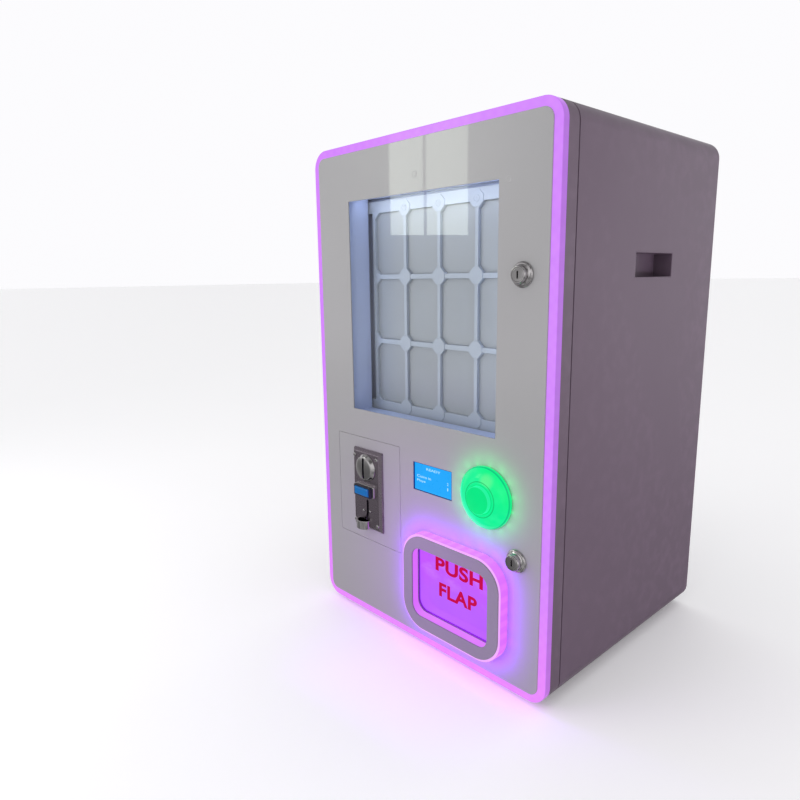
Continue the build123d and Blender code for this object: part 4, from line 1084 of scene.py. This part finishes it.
def return_cup():
    """A half-round cup with a rolled rim."""
    across, (cup_front, cup_back), (floor, rim) = limits("coin_return_cup")
    x, half, reach = middle(across), span(across) / 2, cup_back - cup_front
    wall = 1.8

    def half_round(inset):
        turns = [math.pi * k / 32 for k in range(33)]
        return [
            (x - (half - inset) * math.cos(a), cup_back - (reach - inset) * math.sin(a)) for a in turns
        ]

    cup = Shape("level")
    levels = [(1.2, floor), (0.35, floor + 0.35), (0.0, floor + 1.2), (0.0, rim - 0.8)]
    levels += [(0.25, rim - 0.2), (0.9, rim), (1.55, rim - 0.2), (wall, rim - 0.8)]
    levels.append((wall, floor + wall))
    loops = [cup.loop(half_round(inset), w) for inset, w in levels]
    cup.skin(loops)
    cup.cap([loops[0]])
    cup.cap([loops[-1]])
    cup.replace("return_cup", "coin_return_cup")


def reject_parts():
    bezel = Shape()
    hole = rounded(reject_middle, *bezel_opening, 1.2, 6)
    bezel.fill("reject_bezel", 1.5, 6, [hole], edge=0.9, hole_edge=0.3)
    bezel.replace("reject_frame", "reject_bezel")
    cap = Shape()
    lens = eased([(3.2, 0.0), (2.0, 0.05), (0.5, 0.5), (0.0, 1.8), (0.0, 3.0)], 0.5)
    cap.fill("reject_button", 1, 6, lip=lens)
    cap.replace("reject_cap", "reject_button")


def coin_screws():
    screws = Shape()
    shank_end, nut_end, nut_start = 5.5, 4.5, 1.5
    for spot in coin_screw_spots():
        screws.screw(spot, 3, depth_of("coin_screws")[0], coin_plate_front, 0.8)
        screws.plate(circle(spot, 2, 24), shank_end, coin_plate_front, edge=0.3)
        screws.plate(regular(spot, 3.6, 6), nut_end, nut_start, edge=0.3)
    screws.replace("coin_plate_screws", "coin_screws")


# ---- screen and push button
def screen_parts():
    """From the front: a navy liner that stands in for the shaded wall of the opening (painted shade),
    lit face, black housing with posts, and the circuit board.
    """
    x0, z0 = screen_middle
    width, tall = screen_opening
    face_front, face_back, housing_back, board_back = 0.8, 3, 10, 11.6

    def around(wide, high, radius, steps=3):
        return rounded(screen_middle, wide, high, radius, steps)

    liner, face, housing, board, chips = [Shape() for _ in range(5)]
    # the navy liner inside the opening is painted shade on the opening's wall
    hole = around(width - 1.4, tall - 1.2, 0.3)
    liner.plate(around(width - 0.1, tall - 0.1, 0.4), -1.2, face_front, [hole], edge=0.1)
    liner.done("screen_shade_liner", "lcd_module", material=navy_shade_liner, slot="black_plastic")
    face.plate(around(79, 45.4, 0.6), face_front, face_back, edge=0.2)
    face.replace("screen_face", "lcd_module")
    housing.plate(around(80, 46, 1.2, 4), face_back, housing_back)
    for post in corner_spots(about(x0, 44), about(z0, 32.5)):
        housing.plate(regular(post, 2.4, 6), 0.05, housing_back, edge=0.2)
    housing.done("screen_housing", "lcd_module", slot="black_plastic")
    board.plate(around(93, 70, 1.5, 4), housing_back, board_back, edge=0.15)
    board.done("screen_board", "lcd_module", slot="circuit_board")
    draw = random.Random(4)
    for k in range(6):
        x = x0 - 34 + 13 * k
        chips.brick(about(x, draw.uniform(3, 5)), about(z0, 4), (13, board_back), 0.3)
        for pin in range(-3, 4):
            for side in (-1, 1):
                row = sorted((z0 + side * 4, z0 + side * 5.2))
                chips.brick(about(x + pin * 1.1, 0.2), row, (12.1, board_back), 0.1)
    chips.brick(about(x0, 25), (z0 - 31, z0 - 26), (15, board_back))
    chips.done("screen_chips", "lcd_module", material=chip_black, slot="black_plastic")
    left, low = x0 - width / 2, z0 - tall / 2
    lines = (
        ("title", "READY", (24, 51), (32, 35.6)),
        ("coins", "Coins in", (5.5, 33), (19.2, 23)),
        ("plays", "Plays", (5.5, 22), (12.2, 16.4)),
        ("coin_count", "2", (63.5, 66), (18.8, 22.8)),
        ("play_count", "1", (64, 65.6), (11.4, 15.4)),
    )
    for label, words, across, height in lines:
        place = (shifted(across, left, left), shifted(height, low, low), face_front)
        lettering(f"screen_{label}", words, *place, "lcd_module", screen_ink, 0.01, 0.08)


def button_parts():
    skirt_radius = span(limits("button_skirt")[0]) / 2
    seat, collar_front, collar_radius = -1.5, -16, 23
    skirt, collar, cap, nut = [Shape() for _ in range(4)]
    foot = [(collar_radius, seat), (skirt_radius - 1, seat)]
    profile = eased(foot + [(skirt_radius, -2.3), (skirt_radius, -4.6)], 0.5)
    dome = ((skirt_radius - 0.1, -5.6), (skirt_radius - 7.5, -11.6), (collar_radius, -15.4))
    profile += bowed(*dome, 24)
    skirt.lathe(button_middle, profile, 128)
    skirt.replace("button_dome", "button_skirt")
    back = depth_of("button_collar")[1]
    outline = [(5.3, back), (12, back), (12, seat), (collar_radius, seat), (collar_radius, -15)]
    outline += [(22, collar_front), (21.2, collar_front), (20.8, -15.2), (20.2, -15.2)]
    outline += [(19.8, collar_front), (18.4, collar_front), (18.4, -6), (5.3, -6)]
    collar.lathe(button_middle, eased(outline, 0.3, 3, closed=True), 128)
    collar.replace("button_ring", "button_collar")
    cap_front, stem_end = depth_of("play_button")
    cap_back = cap_front + 11
    profile = bowed((0.0, cap_front + 1.0), (9.0, cap_front + 0.66), (16.2, cap_front + 0.08), 12)
    edge = [(16.4, cap_front), (17.4, cap_front), (18, cap_front + 0.6), (18, cap_back), (5, cap_back)]
    profile += eased(edge, 0.4) + [(5.0, stem_end), (0.0, stem_end)]
    cap.lathe(button_middle, profile, 128, closed=False)
    cap.replace("button_cap", "play_button")
    nut.plate(regular(button_middle, 19, 6), 7, 0.1, [circle(button_middle, 12, 48)], edge=0.8)
    nut.replace("button_ring_nut", "button_nut")
    softened("button_switch")


# ---- outlet and flap
def outlet_parts():
    slab, cover, gap_shade = Shape(), Shape(), Shape()
    width, tall = outlet_opening
    opening = rounded(outlet_middle, width, tall, outlet_radius, 14)
    slab.fill("prize_light_frame", slab_radius, 24, [opening], edge=0.9)
    slab.replace("outlet_slab", "prize_light_frame")
    hole = rounded(outlet_middle, *cover_opening, cover_opening_radius, 14)
    cover.fill("prize_cover_plate", slab_radius - 2, 24, [hole], edge=0.7)
    cover.replace("outlet_cover", "prize_cover_plate")
    # a ring behind the opening's edge that shows as a dark line round the flap: painted shadow of the
    # gap
    inside = rounded(outlet_middle, width - 2.6, tall - 2.6, outlet_radius - 1, 14)
    outside = rounded(outlet_middle, width + 6, tall + 6, outlet_radius + 3, 14)
    gap_shade.plate(outside, 0.1, 1.8, [inside], edge=0.3)
    gap_shade.done("flap_gap_shade", "door_panel", material=violet_gap_shade, slot="rubber")


def flap_parts():
    across, _, height = limits("prize_flap")
    face, back, pin_drop, bore, barrel_radius = 2, 5, 2.9, 1.56, 2.9
    pin_height = height[1] - pin_drop
    plate = Shape()
    plate.plate(filled(across, (height[0], pin_height), 2, 4), face, back)
    plate.plane = "side"
    start, end = across
    barrel = [(bore, start), (barrel_radius, start), (barrel_radius, end), (bore, end)]
    plate.lathe((middle((face, back)), pin_height), eased(barrel, 0.3, 3, closed=True), 32)
    plate.replace("flap_plate", "prize_flap")
    for line, words, places in (
        (1, "PUSH", ((32, 119), (122, 143))),
        (2, "FLAP", ((39, 109), (85, 106))),
    ):
        lettering(f"flap_line_{line}", words, *places, face, "prize_flap", label_red_lit, 0.035)


# ---- locks
def lock_parts():
    nose, barrel_end = depth_of("lock_bodies")
    bodies, nuts = Shape(), Shape()
    bore = 8.06
    profile = [(bore, barrel_end), (lock_barrel, barrel_end)]
    thread_pitch, thread_depth = 1.5, 0.6
    for k in range(int((barrel_end - 2) / thread_pitch)):
        start = barrel_end - k * thread_pitch
        profile += [(lock_barrel, start - 0.3), (lock_barrel - thread_depth, start - 0.75)]
        profile += [(lock_barrel, start - 1.2)]
    head = [(lock_barrel, -1.5), (15, -1.5), (15, -3), (13.6, -4.3), (12, -4.8), (10.6, -5.6)]
    head += [(10.6, nose + 1.4), (9.5, nose), (bore, nose)]
    profile += eased(head, 0.5, 3)
    for spot in lock_middles.values():
        bodies.lathe(spot, profile, 72)
        nuts.plate(regular(spot, 14, 6), 0.1, 5, [circle(spot, lock_barrel, 48)], edge=0.7)
    bodies.replace("lock_barrels", "lock_bodies")
    nuts.replace("lock_ring_nuts", "lock_nuts")
    keyhole = [(1.1, -4.25), (1.1, 1.2), (0.5, 1.6), (1.1, 2.2), (1.1, 4.25)]
    keyhole += [(-1.1, 4.25), (-1.1, -4.25)]
    for name, spot in lock_middles.items():
        plug_front, plug_end = depth_of(f"{name}_lock_plug")
        cam_front, cam_back = depth_of(f"{name}_lock_cam")
        key_end = plug_front + 8
        plug = Shape()
        keyway = polygon([shifted(spot, x, y) for x, y in keyhole])
        plug.plate(circle(spot, 8), plug_front, key_end, [keyway], edge=0.6, hole_edge=0.2)
        plug.plate(circle(spot, 8), key_end - 0.1, cam_front, edge=0.1)
        plug.plate(rounded(spot, 8, 8, 0.5, 3), cam_back + 0.1, cam_front - 0.5, edge=0.1)
        plug.plate(regular(spot, 6, 6), plug_end, cam_back, edge=0.6)
        plug.replace(f"{name}_plug", f"{name}_lock_plug")
        softened(f"{name}_lock_cam")


# ---- the cabinet
def cabinet_box():
    shell, lip = Shape(), Shape()
    shell.plate(body_outline, cabinet_front, cabinet_back, [body_inside], edge=0.5)
    piece = shell.replace("cabinet_wrap", "cabinet_shell")
    boxes = []
    for way, side in ((-1, "left"), (1, "right")):
        _, depth, height = limits(f"handle_cup_{side}")
        outer = way * body_width / 2
        boxes.append((sorted((outer - way * 4, outer + way)), depth, height))
    cut(piece, *boxes)
    rear = depth_of("back_panel")[0]
    outline = in_body(sheet / 2, corner_radius - 1, 24)
    lip.plate(outline, rear, rear - sheet, [in_body(14, 1, 3)], edge=0.3)
    lip.done("rear_lip", "cabinet_shell")
    for way, side in ((-1, "left"), (1, "right")):
        handle_cup(way, side)


def handle_cup(way, side):
    """A box-shaped finger recess with a rounded rim; way is -1 on the left and 1 on the right."""
    node = f"handle_cup_{side}"
    deepest, outer = limits(node)[0][::way]
    outline = filled(*side_of(node), 1.5, 4)
    cup = Shape("side")
    floor = deepest + way * handle_wall
    hole = filled(*side_of(node), 1.0, 4, handle_wall)
    cup.plate(outline, outer, floor, [hole], edge=0.25, hole_edge=0.6)
    cup.plate(outline, floor + way * 0.05, deepest, edge=0.1)
    cup.replace(f"finger_recess_{side}", node)


def back_parts():
    start, end = depth_of("back_panel")
    inlet = centre_of("power_inlet")
    panel, screws, socket, pins = [Shape() for _ in range(4)]
    vents = [(0, lowest_vent + row * vent_pitch) for row in range(9)]
    holes = [rounded(vent, *vent_slot, 1.99, 6) for vent in vents]
    holes.append(rounded(inlet, *inlet_cutout, 0.5, 3))
    panel.plate(in_body(2.5, corner_radius - 2.5, 16), end, start, holes, edge=0.3, hole_edge=0.2)
    panel.replace("rear_panel", "back_panel")
    for spot in islands("back_panel_screws"):
        screws.screw(spot, 3.8, depth_of("back_panel_screws")[1], end, 1.1)
    screws.replace("rear_screws", "back_panel_screws")
    flange_back = depth_of("power_inlet")[1]
    socket_front = start - 22
    mouth = rounded(inlet, *inlet_mouth, 2.5, 6)
    socket.plate(rounded(inlet, 54, 32, 3, 6), flange_back, end, [mouth], edge=0.8, hole_edge=0.5)
    socket.plate(rounded(inlet, 47.6, 27.6, 1, 4), end - 0.1, socket_front, [mouth], edge=0.3)
    socket.plate(rounded(inlet, 26, 18, 1, 4), flange_back - 17, socket_front, edge=0.1)
    socket.replace("inlet_socket", "power_inlet")
    for right, up in ((-7, -2), (0, 2.5), (7, -2)):
        x, z = shifted(inlet, right, up)
        pins.brick(about(x, 1), about(z, 2), (flange_back - 8, flange_back - 17.5))
    for side in (-1, 1):
        pins.screw(shifted(inlet, side * 22.5), 2.6, flange_back + 0.8, flange_back, 0.5)
    pins.done("inlet_pins", "power_inlet", slot="chrome")


def feet():
    rubber, washers = Shape("level"), Shape("level")
    across, depth, (low, high) = limits("rubber_feet")
    radius = 15.0
    profile = [(0.0, high), (12.5, high), (radius, high - 2.5)]
    for k in range(2):
        ring = high - 3.4 - 1.6 * k
        profile += [(radius, ring), (radius - 0.4, ring - 0.4), (radius, ring - 0.8)]
    profile += [(radius, low + 0.8), (14.2, low), (6.0, low), (5.4, low + 3), (0.0, low + 3)]
    for spot in corner_spots(across, depth, radius):
        rubber.lathe(spot, profile, 56, closed=False)
        washers.screw(spot, 4.4, low + 1.2, low + 3, 0.8)
    rubber.replace("machine_feet", "rubber_feet")
    washers.done("foot_screws", "rubber_feet", slot="chrome")


# ---- inside, on the door
def lamp(spot):
    """The outline of a small lamp package."""
    return rounded(spot, 5, 5, 0.5, 2)


def door_lamps():
    across, depth, height = limits("edge_led_strips")
    wall = across[1]
    tape = (0.4, 1.5)
    strips, lamps = Shape(), Shape("side")
    for side in (-1, 1):
        x = sorted(side * (wall - inset) for inset in tape)
        strips.brick(x, (40, body_tall - 40), depth, 0.1)
    for z in ((height[0] + tape[0], height[0] + tape[1]), (height[1] - tape[1], height[1] - tape[0])):
        strips.brick((-160, 160), z, depth, 0.1)
    strips.replace("lamp_strips", "edge_led_strips", material=pale_trim)
    for k in range(int((body_tall - 90) / lamp_pitch)):
        outline = lamp((middle(depth), 48 + k * lamp_pitch))
        for side in (-1, 1):
            lamps.plate(outline, side * (wall - 0.02), side * (wall - 0.5), edge=0.1)
    lamps.plane = "level"
    for k in range(19):
        outline = lamp((-150 + k * lamp_pitch, middle(depth)))
        for z, way in ((height[0], 1), (height[1], -1)):
            lamps.plate(outline, z + way * 0.02, z + way * 0.5, edge=0.1)
    lamps.done("lamp_packages", "edge_led_strips", material=led_violet)


def validator():
    (left, right), (start, end), (low, high) = limits("coin_validator")
    body_start = 6.5
    case, details, lever = Shape(), Shape(), Shape()
    case.plate(filled((left, right), (low, high), 2, 4), end, body_start, edge=0.8)
    throat = rounded(plate_middle, coin_throat[0] - 2, coin_throat[1] - 2, 1, 4)
    path = rounded(entry_middle, coin_slot[0], coin_slot[1] - 3, 0.5, 3)
    case.plate(throat, start, body_start + 0.2, [path])
    for k in range(7):
        rib = low + 14 + 7 * k
        case.brick((left + 6, right - 22), (rib, rib + 2.6), (end + 0.01, end - 0.5))
    case.replace("validator_case", "coin_validator")
    details.brick((right - 20, right - 6), (low + 10, low + 34), (end + 7, end - 0.2), 0.6)
    for k in range(10):
        pin = low + 12 + 2.2 * k
        details.brick((right - 16, right - 10), (pin, pin + 0.9), (end + 9, end + 6.8), 0.15)
    details.done("validator_plug", "coin_validator", material=pale_trim)
    lever.brick((left + 8, left + 30), (high - 24, high - 12), (end + 1.6, end - 0.2), 0.5)
    for spot in corner_spots((left, right), (low, high), 5):
        lever.screw(spot, 2.4, end + 1.2, end - 0.05, 0.5)
    lever.done("validator_trim", "coin_validator", slot="chrome")
    softened("coin_chute", 0.3)


def door_hardware():
    for node_name in (
        "flap_brackets", "hinge_door_leaves", "hinge_cabinet_leaves", "hinge_pins", "flap_pin",
    ):
        softened(node_name, 0.25)
    leaf_screws = Shape("side")
    leaf_face = -body_width / 2 - 1.8
    for name, depth in (("hinge_door_leaves", 19), ("hinge_cabinet_leaves", 45)):
        # each hinge once, by the height of its middle
        for height in sorted({round(spot[1]) for spot in islands(name)}):
            for rise in (-22, 22):
                leaf_screws.screw((depth, height + rise), 2.6, leaf_face - 0.9, leaf_face, 0.5)
    leaf_screws.done("hinge_screws", "hinge_door_leaves", slot="chrome")


def stud_nuts():
    """Threaded studs with flanged nuts on the back of the door's sheet."""
    studs = Shape()
    thread_pitch, radius = 0.8, 2.5
    for spots, clamp in ((rim_studs, depth_of("panel_studs")[1] - 4.7), (window_studs, 6)):
        profile = [(0.0, 0.05), (radius, 0.05)]
        for k in range(int((clamp + 4.4) / thread_pitch)):
            profile += [(radius, 0.2 + thread_pitch * k), (radius - 0.3, 0.6 + thread_pitch * k)]
        profile += [(2.1, clamp + 4.7), (0.0, clamp + 4.7)]
        for spot in spots:
            studs.lathe(spot, profile, 20, closed=False)
            studs.plate(regular(spot, 4.6, 6), clamp + 3.2, clamp + 0.02, edge=0.5)
    studs.replace("stud_nuts", "panel_studs")


# ---- inside, in the cabinet
def display_back():
    softened("display_backplate")
    across, depth, height = limits("display_led_bars")
    bar = 12
    bars, dots = Shape(), Shape()
    for side in (-1, 1):
        bars.brick(sorted((side * (across[1] - bar), side * across[1])), height, depth, 0.8)
        for k in range(int(span(height) / lamp_pitch)):
            spot = (side * (across[1] - bar / 2), height[0] + 9 + lamp_pitch * k)
            dots.plate(lamp(spot), depth[0] - 0.4, depth[0] + 0.1, edge=0.2)
    bars.replace("display_bars", "display_led_bars", material=pale_trim)
    dots.done("display_lamps", "display_led_bars")


def works():
    for node_name in (
        "machine_shelf", "prize_magazine", "pusher_guide", "prize_chute", "lock_strikes",
        "front_lip_frame", "prize_pusher", "drive_pinion", "door_gasket",
    ):
        softened(node_name, 0.3)


def circuits():
    across, depth, (floor, _) = limits("control_board")
    board_top = floor + 10
    card, chips, sockets, cans = [Shape("level") for _ in range(4)]
    card.plate(filled(across, depth, 2, 4), board_top, board_top - 2, edge=0.15)
    for spot in corner_spots(across, depth, 8):
        card.plate(regular(spot, 3, 6), floor + 8.05, floor + 0.02, edge=0.2)
    card.replace("control_card", "control_board")
    # one big square chip with legs on all four sides, and small ones drawn in a row
    big_across, big_depth, leg_pitch = -145, 255, 2.1
    chips.brick(about(big_across, 15), about(big_depth, 15), (board_top + 3.6, board_top), 0.5)
    leg = (board_top + 0.9, board_top)
    for k in range(-6, 7):
        chips.brick(about(big_across + leg_pitch * k, 0.4), about(big_depth, 17), leg, 0.15)
        chips.brick(about(big_across, 17), about(big_depth + leg_pitch * k, 0.4), leg, 0.15)
    draw = random.Random(11)
    for k in range(16):
        x, y = -186 + 8 * k, draw.choice((226, 232, 280, 292, 300))
        size = draw.uniform(1.2, 2.6)
        if not -166 < x < -126:
            rise = draw.uniform(1, 2.4)
            chips.brick(about(x, size), about(y, 1.4), (board_top + rise, board_top), 0.25)
    chips.done("control_chips", "control_board", material=chip_black, slot="black_plastic")
    socket_tall, socket_deep = 11.9, 12
    for (start, end), row, count in (((-110, -60), 216, 10), ((-180, -100), 316, 16)):
        pitch = (end - start) / count
        for k in range(count):
            spot = (start + k * pitch + pitch / 2, row)
            hole = rounded(spot, pitch * 0.5, 6, 0.4, 3)
            cell = rounded(spot, pitch - 0.15, socket_deep, 0.3, 3)
            sockets.plate(cell, board_top + socket_tall, board_top, [hole], edge=0.25)
    sockets.done("control_sockets", "control_board", material=pale_trim, slot="rack_plastic")
    can = ((0.0, 0), (3.2, 0), (3.2, 0.8), (2.9, 1.2), (3.2, 1.6), (3.2, 9), (2.7, 9.6), (0.0, 9.4))
    profile = [(radius, board_top + rise) for radius, rise in can]
    for k in range(5):
        cans.lathe((-84 + 7.5 * (k % 2), 246 + 11 * k), profile, 24, closed=False)
    cans.done("control_capacitors", "control_board", material=chip_black, slot="black_plastic")


def supply():
    across, depth, (floor, top) = limits("power_supply")
    left, near = across[0], depth[0]
    case, coils, block = [Shape("level") for _ in range(3)]
    outline = filled(across, depth, 2, 4)
    inside = filled(across, depth, 1, 4, 1.2)
    vents = []
    for row in range(7):
        for column in range(5):
            vents.append(regular((left + 14 + 12 * row, near + 40 + 14 * column), 4.2, 6))
    case.plate(outline, top, top - 1.2, vents, hole_edge=0.15)
    case.plate(outline, floor, top - 1.1, [inside], edge=0.2)
    case.plate(inside, floor + 0.5, floor + 1.5, edge=0.1)
    case.replace("supply_case", "power_supply")
    for k in range(4):
        coils.brick(about(left + 20 + 20 * k, 8), (near + 50, near + 80), (top - 9, floor + 1.4), 1.0)
    coils.done("supply_coils", "power_supply", material=chip_black, slot="black_plastic")
    for k in range(7):
        x = left + 12 + 11 * k
        block.brick((x, x + 10), (near + 4, near + 18), (top + 2.49, top - 0.1), 0.5)
        block.screw((x + 5, near + 11), 2.6, top + 3.4, top + 2.4, 0.6)
    block.done("supply_terminals", "power_supply", slot="chrome", material=chip_green)


def motor():
    (face, tail), depth, (floor, _) = limits("pusher_motor")
    axis = (middle(depth_of("drive_pinion")), centre_of("drive_pinion")[1])
    gearbox, can = Shape("side"), Shape("side")
    box_end, box_top = face + 22, axis[1] + 16
    outline = filled(depth, (floor, box_top), 1.5, 4)
    gearbox.plate(outline, face, box_end, [circle(axis, 3.06, 32)], edge=0.6)
    gearbox.replace("gearbox", "pusher_motor")
    can_radius = 14.0
    profile = [(0.0, box_end), (can_radius, box_end), (can_radius, box_end + 4)]
    profile += [(can_radius - 0.5, box_end + 4.5), (can_radius - 0.5, box_end + 7)]
    profile += [(can_radius, box_end + 7.5), (can_radius, tail - 3), (12.5, tail - 1), (6, tail - 1)]
    profile += [(5.6, tail), (0.0, tail)]
    can.lathe(axis, eased(profile, 0.4, 3), 56, closed=False)
    for spot in corner_spots(about(middle(depth), span(depth) / 2 - 4), (floor + 5, box_top - 4)):
        can.screw(spot, 2.2, face - 1.2, face + 0.05, 0.5)
    can.done("motor_can", "pusher_motor", slot="chrome", material=slot_materials["motor_steel"])


def cash():
    across, depth, (floor, top) = limits("cash_box")
    wall = 1.5
    box, pull = Shape("level"), Shape()
    inside = filled(across, depth, 2, 5, wall)
    box.plate(filled(across, depth, 3, 5), top, floor, [inside], edge=0.6)
    box.plate(inside, floor + wall, floor + 0.3, edge=0.1)
    box.replace("coin_box", "cash_box")
    grip = (middle(across), floor + 51)
    hole = rounded(grip, 34, 12, 4, 6)
    pull.plate(rounded(grip, 46, 22, 6, 6), depth[0] - 4, depth[0] + 0.2, [hole], edge=0.9)
    pull.done("coin_box_pull", "cash_box", slot="black_plastic")


for build in (
    light_ring, door_rim, door_sheet, weld_marks, reveal_box, display_board, coin_face, coin_nose,
    return_cup, reject_parts, coin_screws, screen_parts, button_parts, outlet_parts, flap_parts,
    lock_parts, cabinet_box, back_parts, feet, door_lamps, validator, door_hardware, stud_nuts,
    display_back, works, circuits, supply, motor, cash,
):
    build()


# ---- floor and surroundings
def quad(name, corners, material):
    data = bpy.data.meshes.new(name)
    data.from_pydata([tuple(corner) for corner in corners], [], [(0, 1, 2, 3)])
    data.materials.append(material)
    sheet_object = bpy.data.objects.new(name, data)
    bpy.context.scene.collection.objects.link(sheet_object)
    return sheet_object


floor_paint = Tree("floor_paint")
white_drift = floor_paint.mix(floor_paint.noise(2, 3), (0.93, 0.93, 0.93), (0.95, 0.95, 0.95))
floor_paint.set(Base_Color=white_drift, Roughness=0.6)
floor_paint.set(Emission_Color=(1.0, 1.0, 1.0), Emission_Strength=0.12)
reach = 60.0
floor_corners = [(-reach, -reach, 0), (reach, -reach, 0), (reach, reach, 0), (-reach, reach, 0)]
floor = quad("floor", floor_corners, floor_paint.owner)
floor.visible_glossy = False

# A studio that lights evenly, dimmer towards the right. What shiny surfaces mirror of it is a
# room: a bright band at eye level, a darker ceiling and floor, and soft shapes in between.
world = bpy.data.worlds.new("studio")
bpy.context.scene.world = world
sky = Tree("studio", world)
direction = sky.add("ShaderNodeTexCoord").outputs["Generated"]
rightwards, _, upwards = sky.split(direction)
shapes = sky.add("ShaderNodeTexNoise", {"Scale": 2.6, "Detail": 1.5, "Vector": direction})
below = sky.remap(upwards, -0.35, 0.0, 0.34, 0.78, smooth=True)
above = sky.remap(upwards, 0.3, 0.7, 1.0, 0.4, smooth=True)
soft_shapes = sky.remap(shapes.outputs["Fac"], 0.38, 0.62, 0.45, 1.25, smooth=True)
room = sky.product(sky.product(below, above), soft_shapes)
mirrored_ray = sky.add("ShaderNodeLightPath").outputs["Is Glossy Ray"]
studio = sky.remap(rightwards, 0.1, 0.9, 1.0, 0.55, smooth=True)
strength = sky.add("ShaderNodeMix", {0: mirrored_ray, 2: studio, 3: room})
background = sky.tree.nodes["Background"].inputs
sky.feed((0.975, 0.97, 0.99), background["Color"])
sky.feed(strength.outputs[0], background["Strength"])


def area_light(name, place, aim, size, power, colour=(1, 1, 1), body=None):
    """A soft rectangular light. It isn't seen itself, and shows in no reflection."""
    data = bpy.data.lights.new(name, "AREA")
    data.shape = "RECTANGLE"
    data.size, data.size_y = size
    data.energy = power
    data.color = colour
    light = bpy.data.objects.new(name, data)
    bpy.context.scene.collection.objects.link(light)
    light.location = place
    light.rotation_mode = "QUATERNION"
    light.rotation_quaternion = (Vector(aim) - Vector(place)).to_track_quat("-Z", "Y")
    light.visible_camera = False
    light.visible_glossy = False
    if body:
        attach(light, body)
    return light


# A soft key light from the front left, and a low one on the foot of the right side.
area_light("key", (-0.9, -1.6, 0.45), (0, -0.19, 0.2), (1.2, 0.8), 9, (1.0, 0.96, 1.0))
area_light("low_fill", (1.7, 0.2, 0.12), (0.222, 0.0, 0.12), (1.2, 0.2), 8.5, (0.93, 0.90, 1.0))

# The display's own light: strips along its two sides and its top.
board_front = depth_of("prize_board")[0]
x, z = window_middle
for side in (-1, 1):
    area_light(
        f"display_side_{side}", at(x + side * 132, 22, z), at(x + side * 20, board_front, z),
        (0.012, 0.28), 0.031, (0.60, 0.72, 1.0), "cabinet",
    )
area_light(
    "display_top", at(x, 12, z + 157), at(x, board_front, z + 143),
    (0.27, 0.01), 0.06, (0.80, 0.86, 1.0), "cabinet",
)


# Coloured light that the lit parts throw on the door around them.
def halo(name, outline, count, depth, power, colour):
    """Small lamps around an outline, each aimed at the sheet a little further out."""
    inside, outside = outline(7.0), outline(15.0)
    for k in range(count):
        index = k * len(inside) // count
        start = at(inside[index][0], depth, inside[index][1])
        aim = at(outside[index][0], 0, outside[index][1])
        area_light(f"{name}_{k}", start, aim, (0.024, 0.024), power, colour, "door")


slab_outline = even_points(filled(*face_of("prize_light_frame"), slab_radius, 8))
halo("outlet_halo", slab_outline, 26, -13, 0.0105, (0.26, 0.0, 1.0))
skirt_outline = circle(button_middle, span(limits("button_skirt")[0]) / 2, 60)
halo("button_halo", skirt_outline, 15, -9, 0.0022, (0.0, 1.0, 0.18))
x, z = outlet_middle
spill = area_light(
    "violet_spill", at(x - 30, -190, z + 60), at(x - 50, 0, z + 10),
    (0.25, 0.25), 0.16, (0.52, 0.03, 1.0), "door",
)
spill.data.spread = math.radians(110)

# Two bright windows of the room, seen mirrored in the upper panel and glass.
camera_place = (0.6248, -0.8002, 0.5403)
panel_plane = front + panel_front * MM
pane_edges = ((-49.5, 14.8), (20.3, 90.7))
pane_foot = (589, 581.5)
pane_distance = 2.5
pane_top = 1.9


def mirrored(across, height):
    """Where the camera's view of this point of the panel goes to, after the mirror."""
    eye = Vector((camera_place[0], 2 * panel_plane - camera_place[1], camera_place[2]))
    ray = at(across, panel_front, height) - eye
    return eye + ray * ((-pane_distance - eye.y) / ray.y)


pane_light = Tree("pane_light")
pane_light.set(Base_Color=(0.0, 0.0, 0.0))
pane_light.set(Emission_Color=(0.93, 1.0, 0.90), Emission_Strength=4.0)
slope = (pane_foot[1] - pane_foot[0]) / (pane_edges[1][1] - pane_edges[0][0])
for index, edges in enumerate(pane_edges):
    corners = [mirrored(edge, pane_foot[0] + slope * (edge - pane_edges[0][0])) for edge in edges]
    corners += [Vector((corner.x, corner.y, pane_top)) for corner in reversed(corners)]
    pane = quad(f"room_window_{index}", corners, pane_light.owner)
    for kind in ("camera", "diffuse", "transmission", "volume_scatter", "shadow"):
        setattr(pane, f"visible_{kind}", False)

camera_data = bpy.data.cameras.new("camera")
camera_data.sensor_width = 36.0
camera_data.lens = 28.81
camera = bpy.data.objects.new("camera", camera_data)
bpy.context.scene.collection.objects.link(camera)
camera.location = camera_place
camera.rotation_euler = [math.radians(angle) for angle in (79.118, 0.772, 47.170)]
bpy.context.scene.camera = camera
bpy.context.scene.view_settings.view_transform = "Standard"
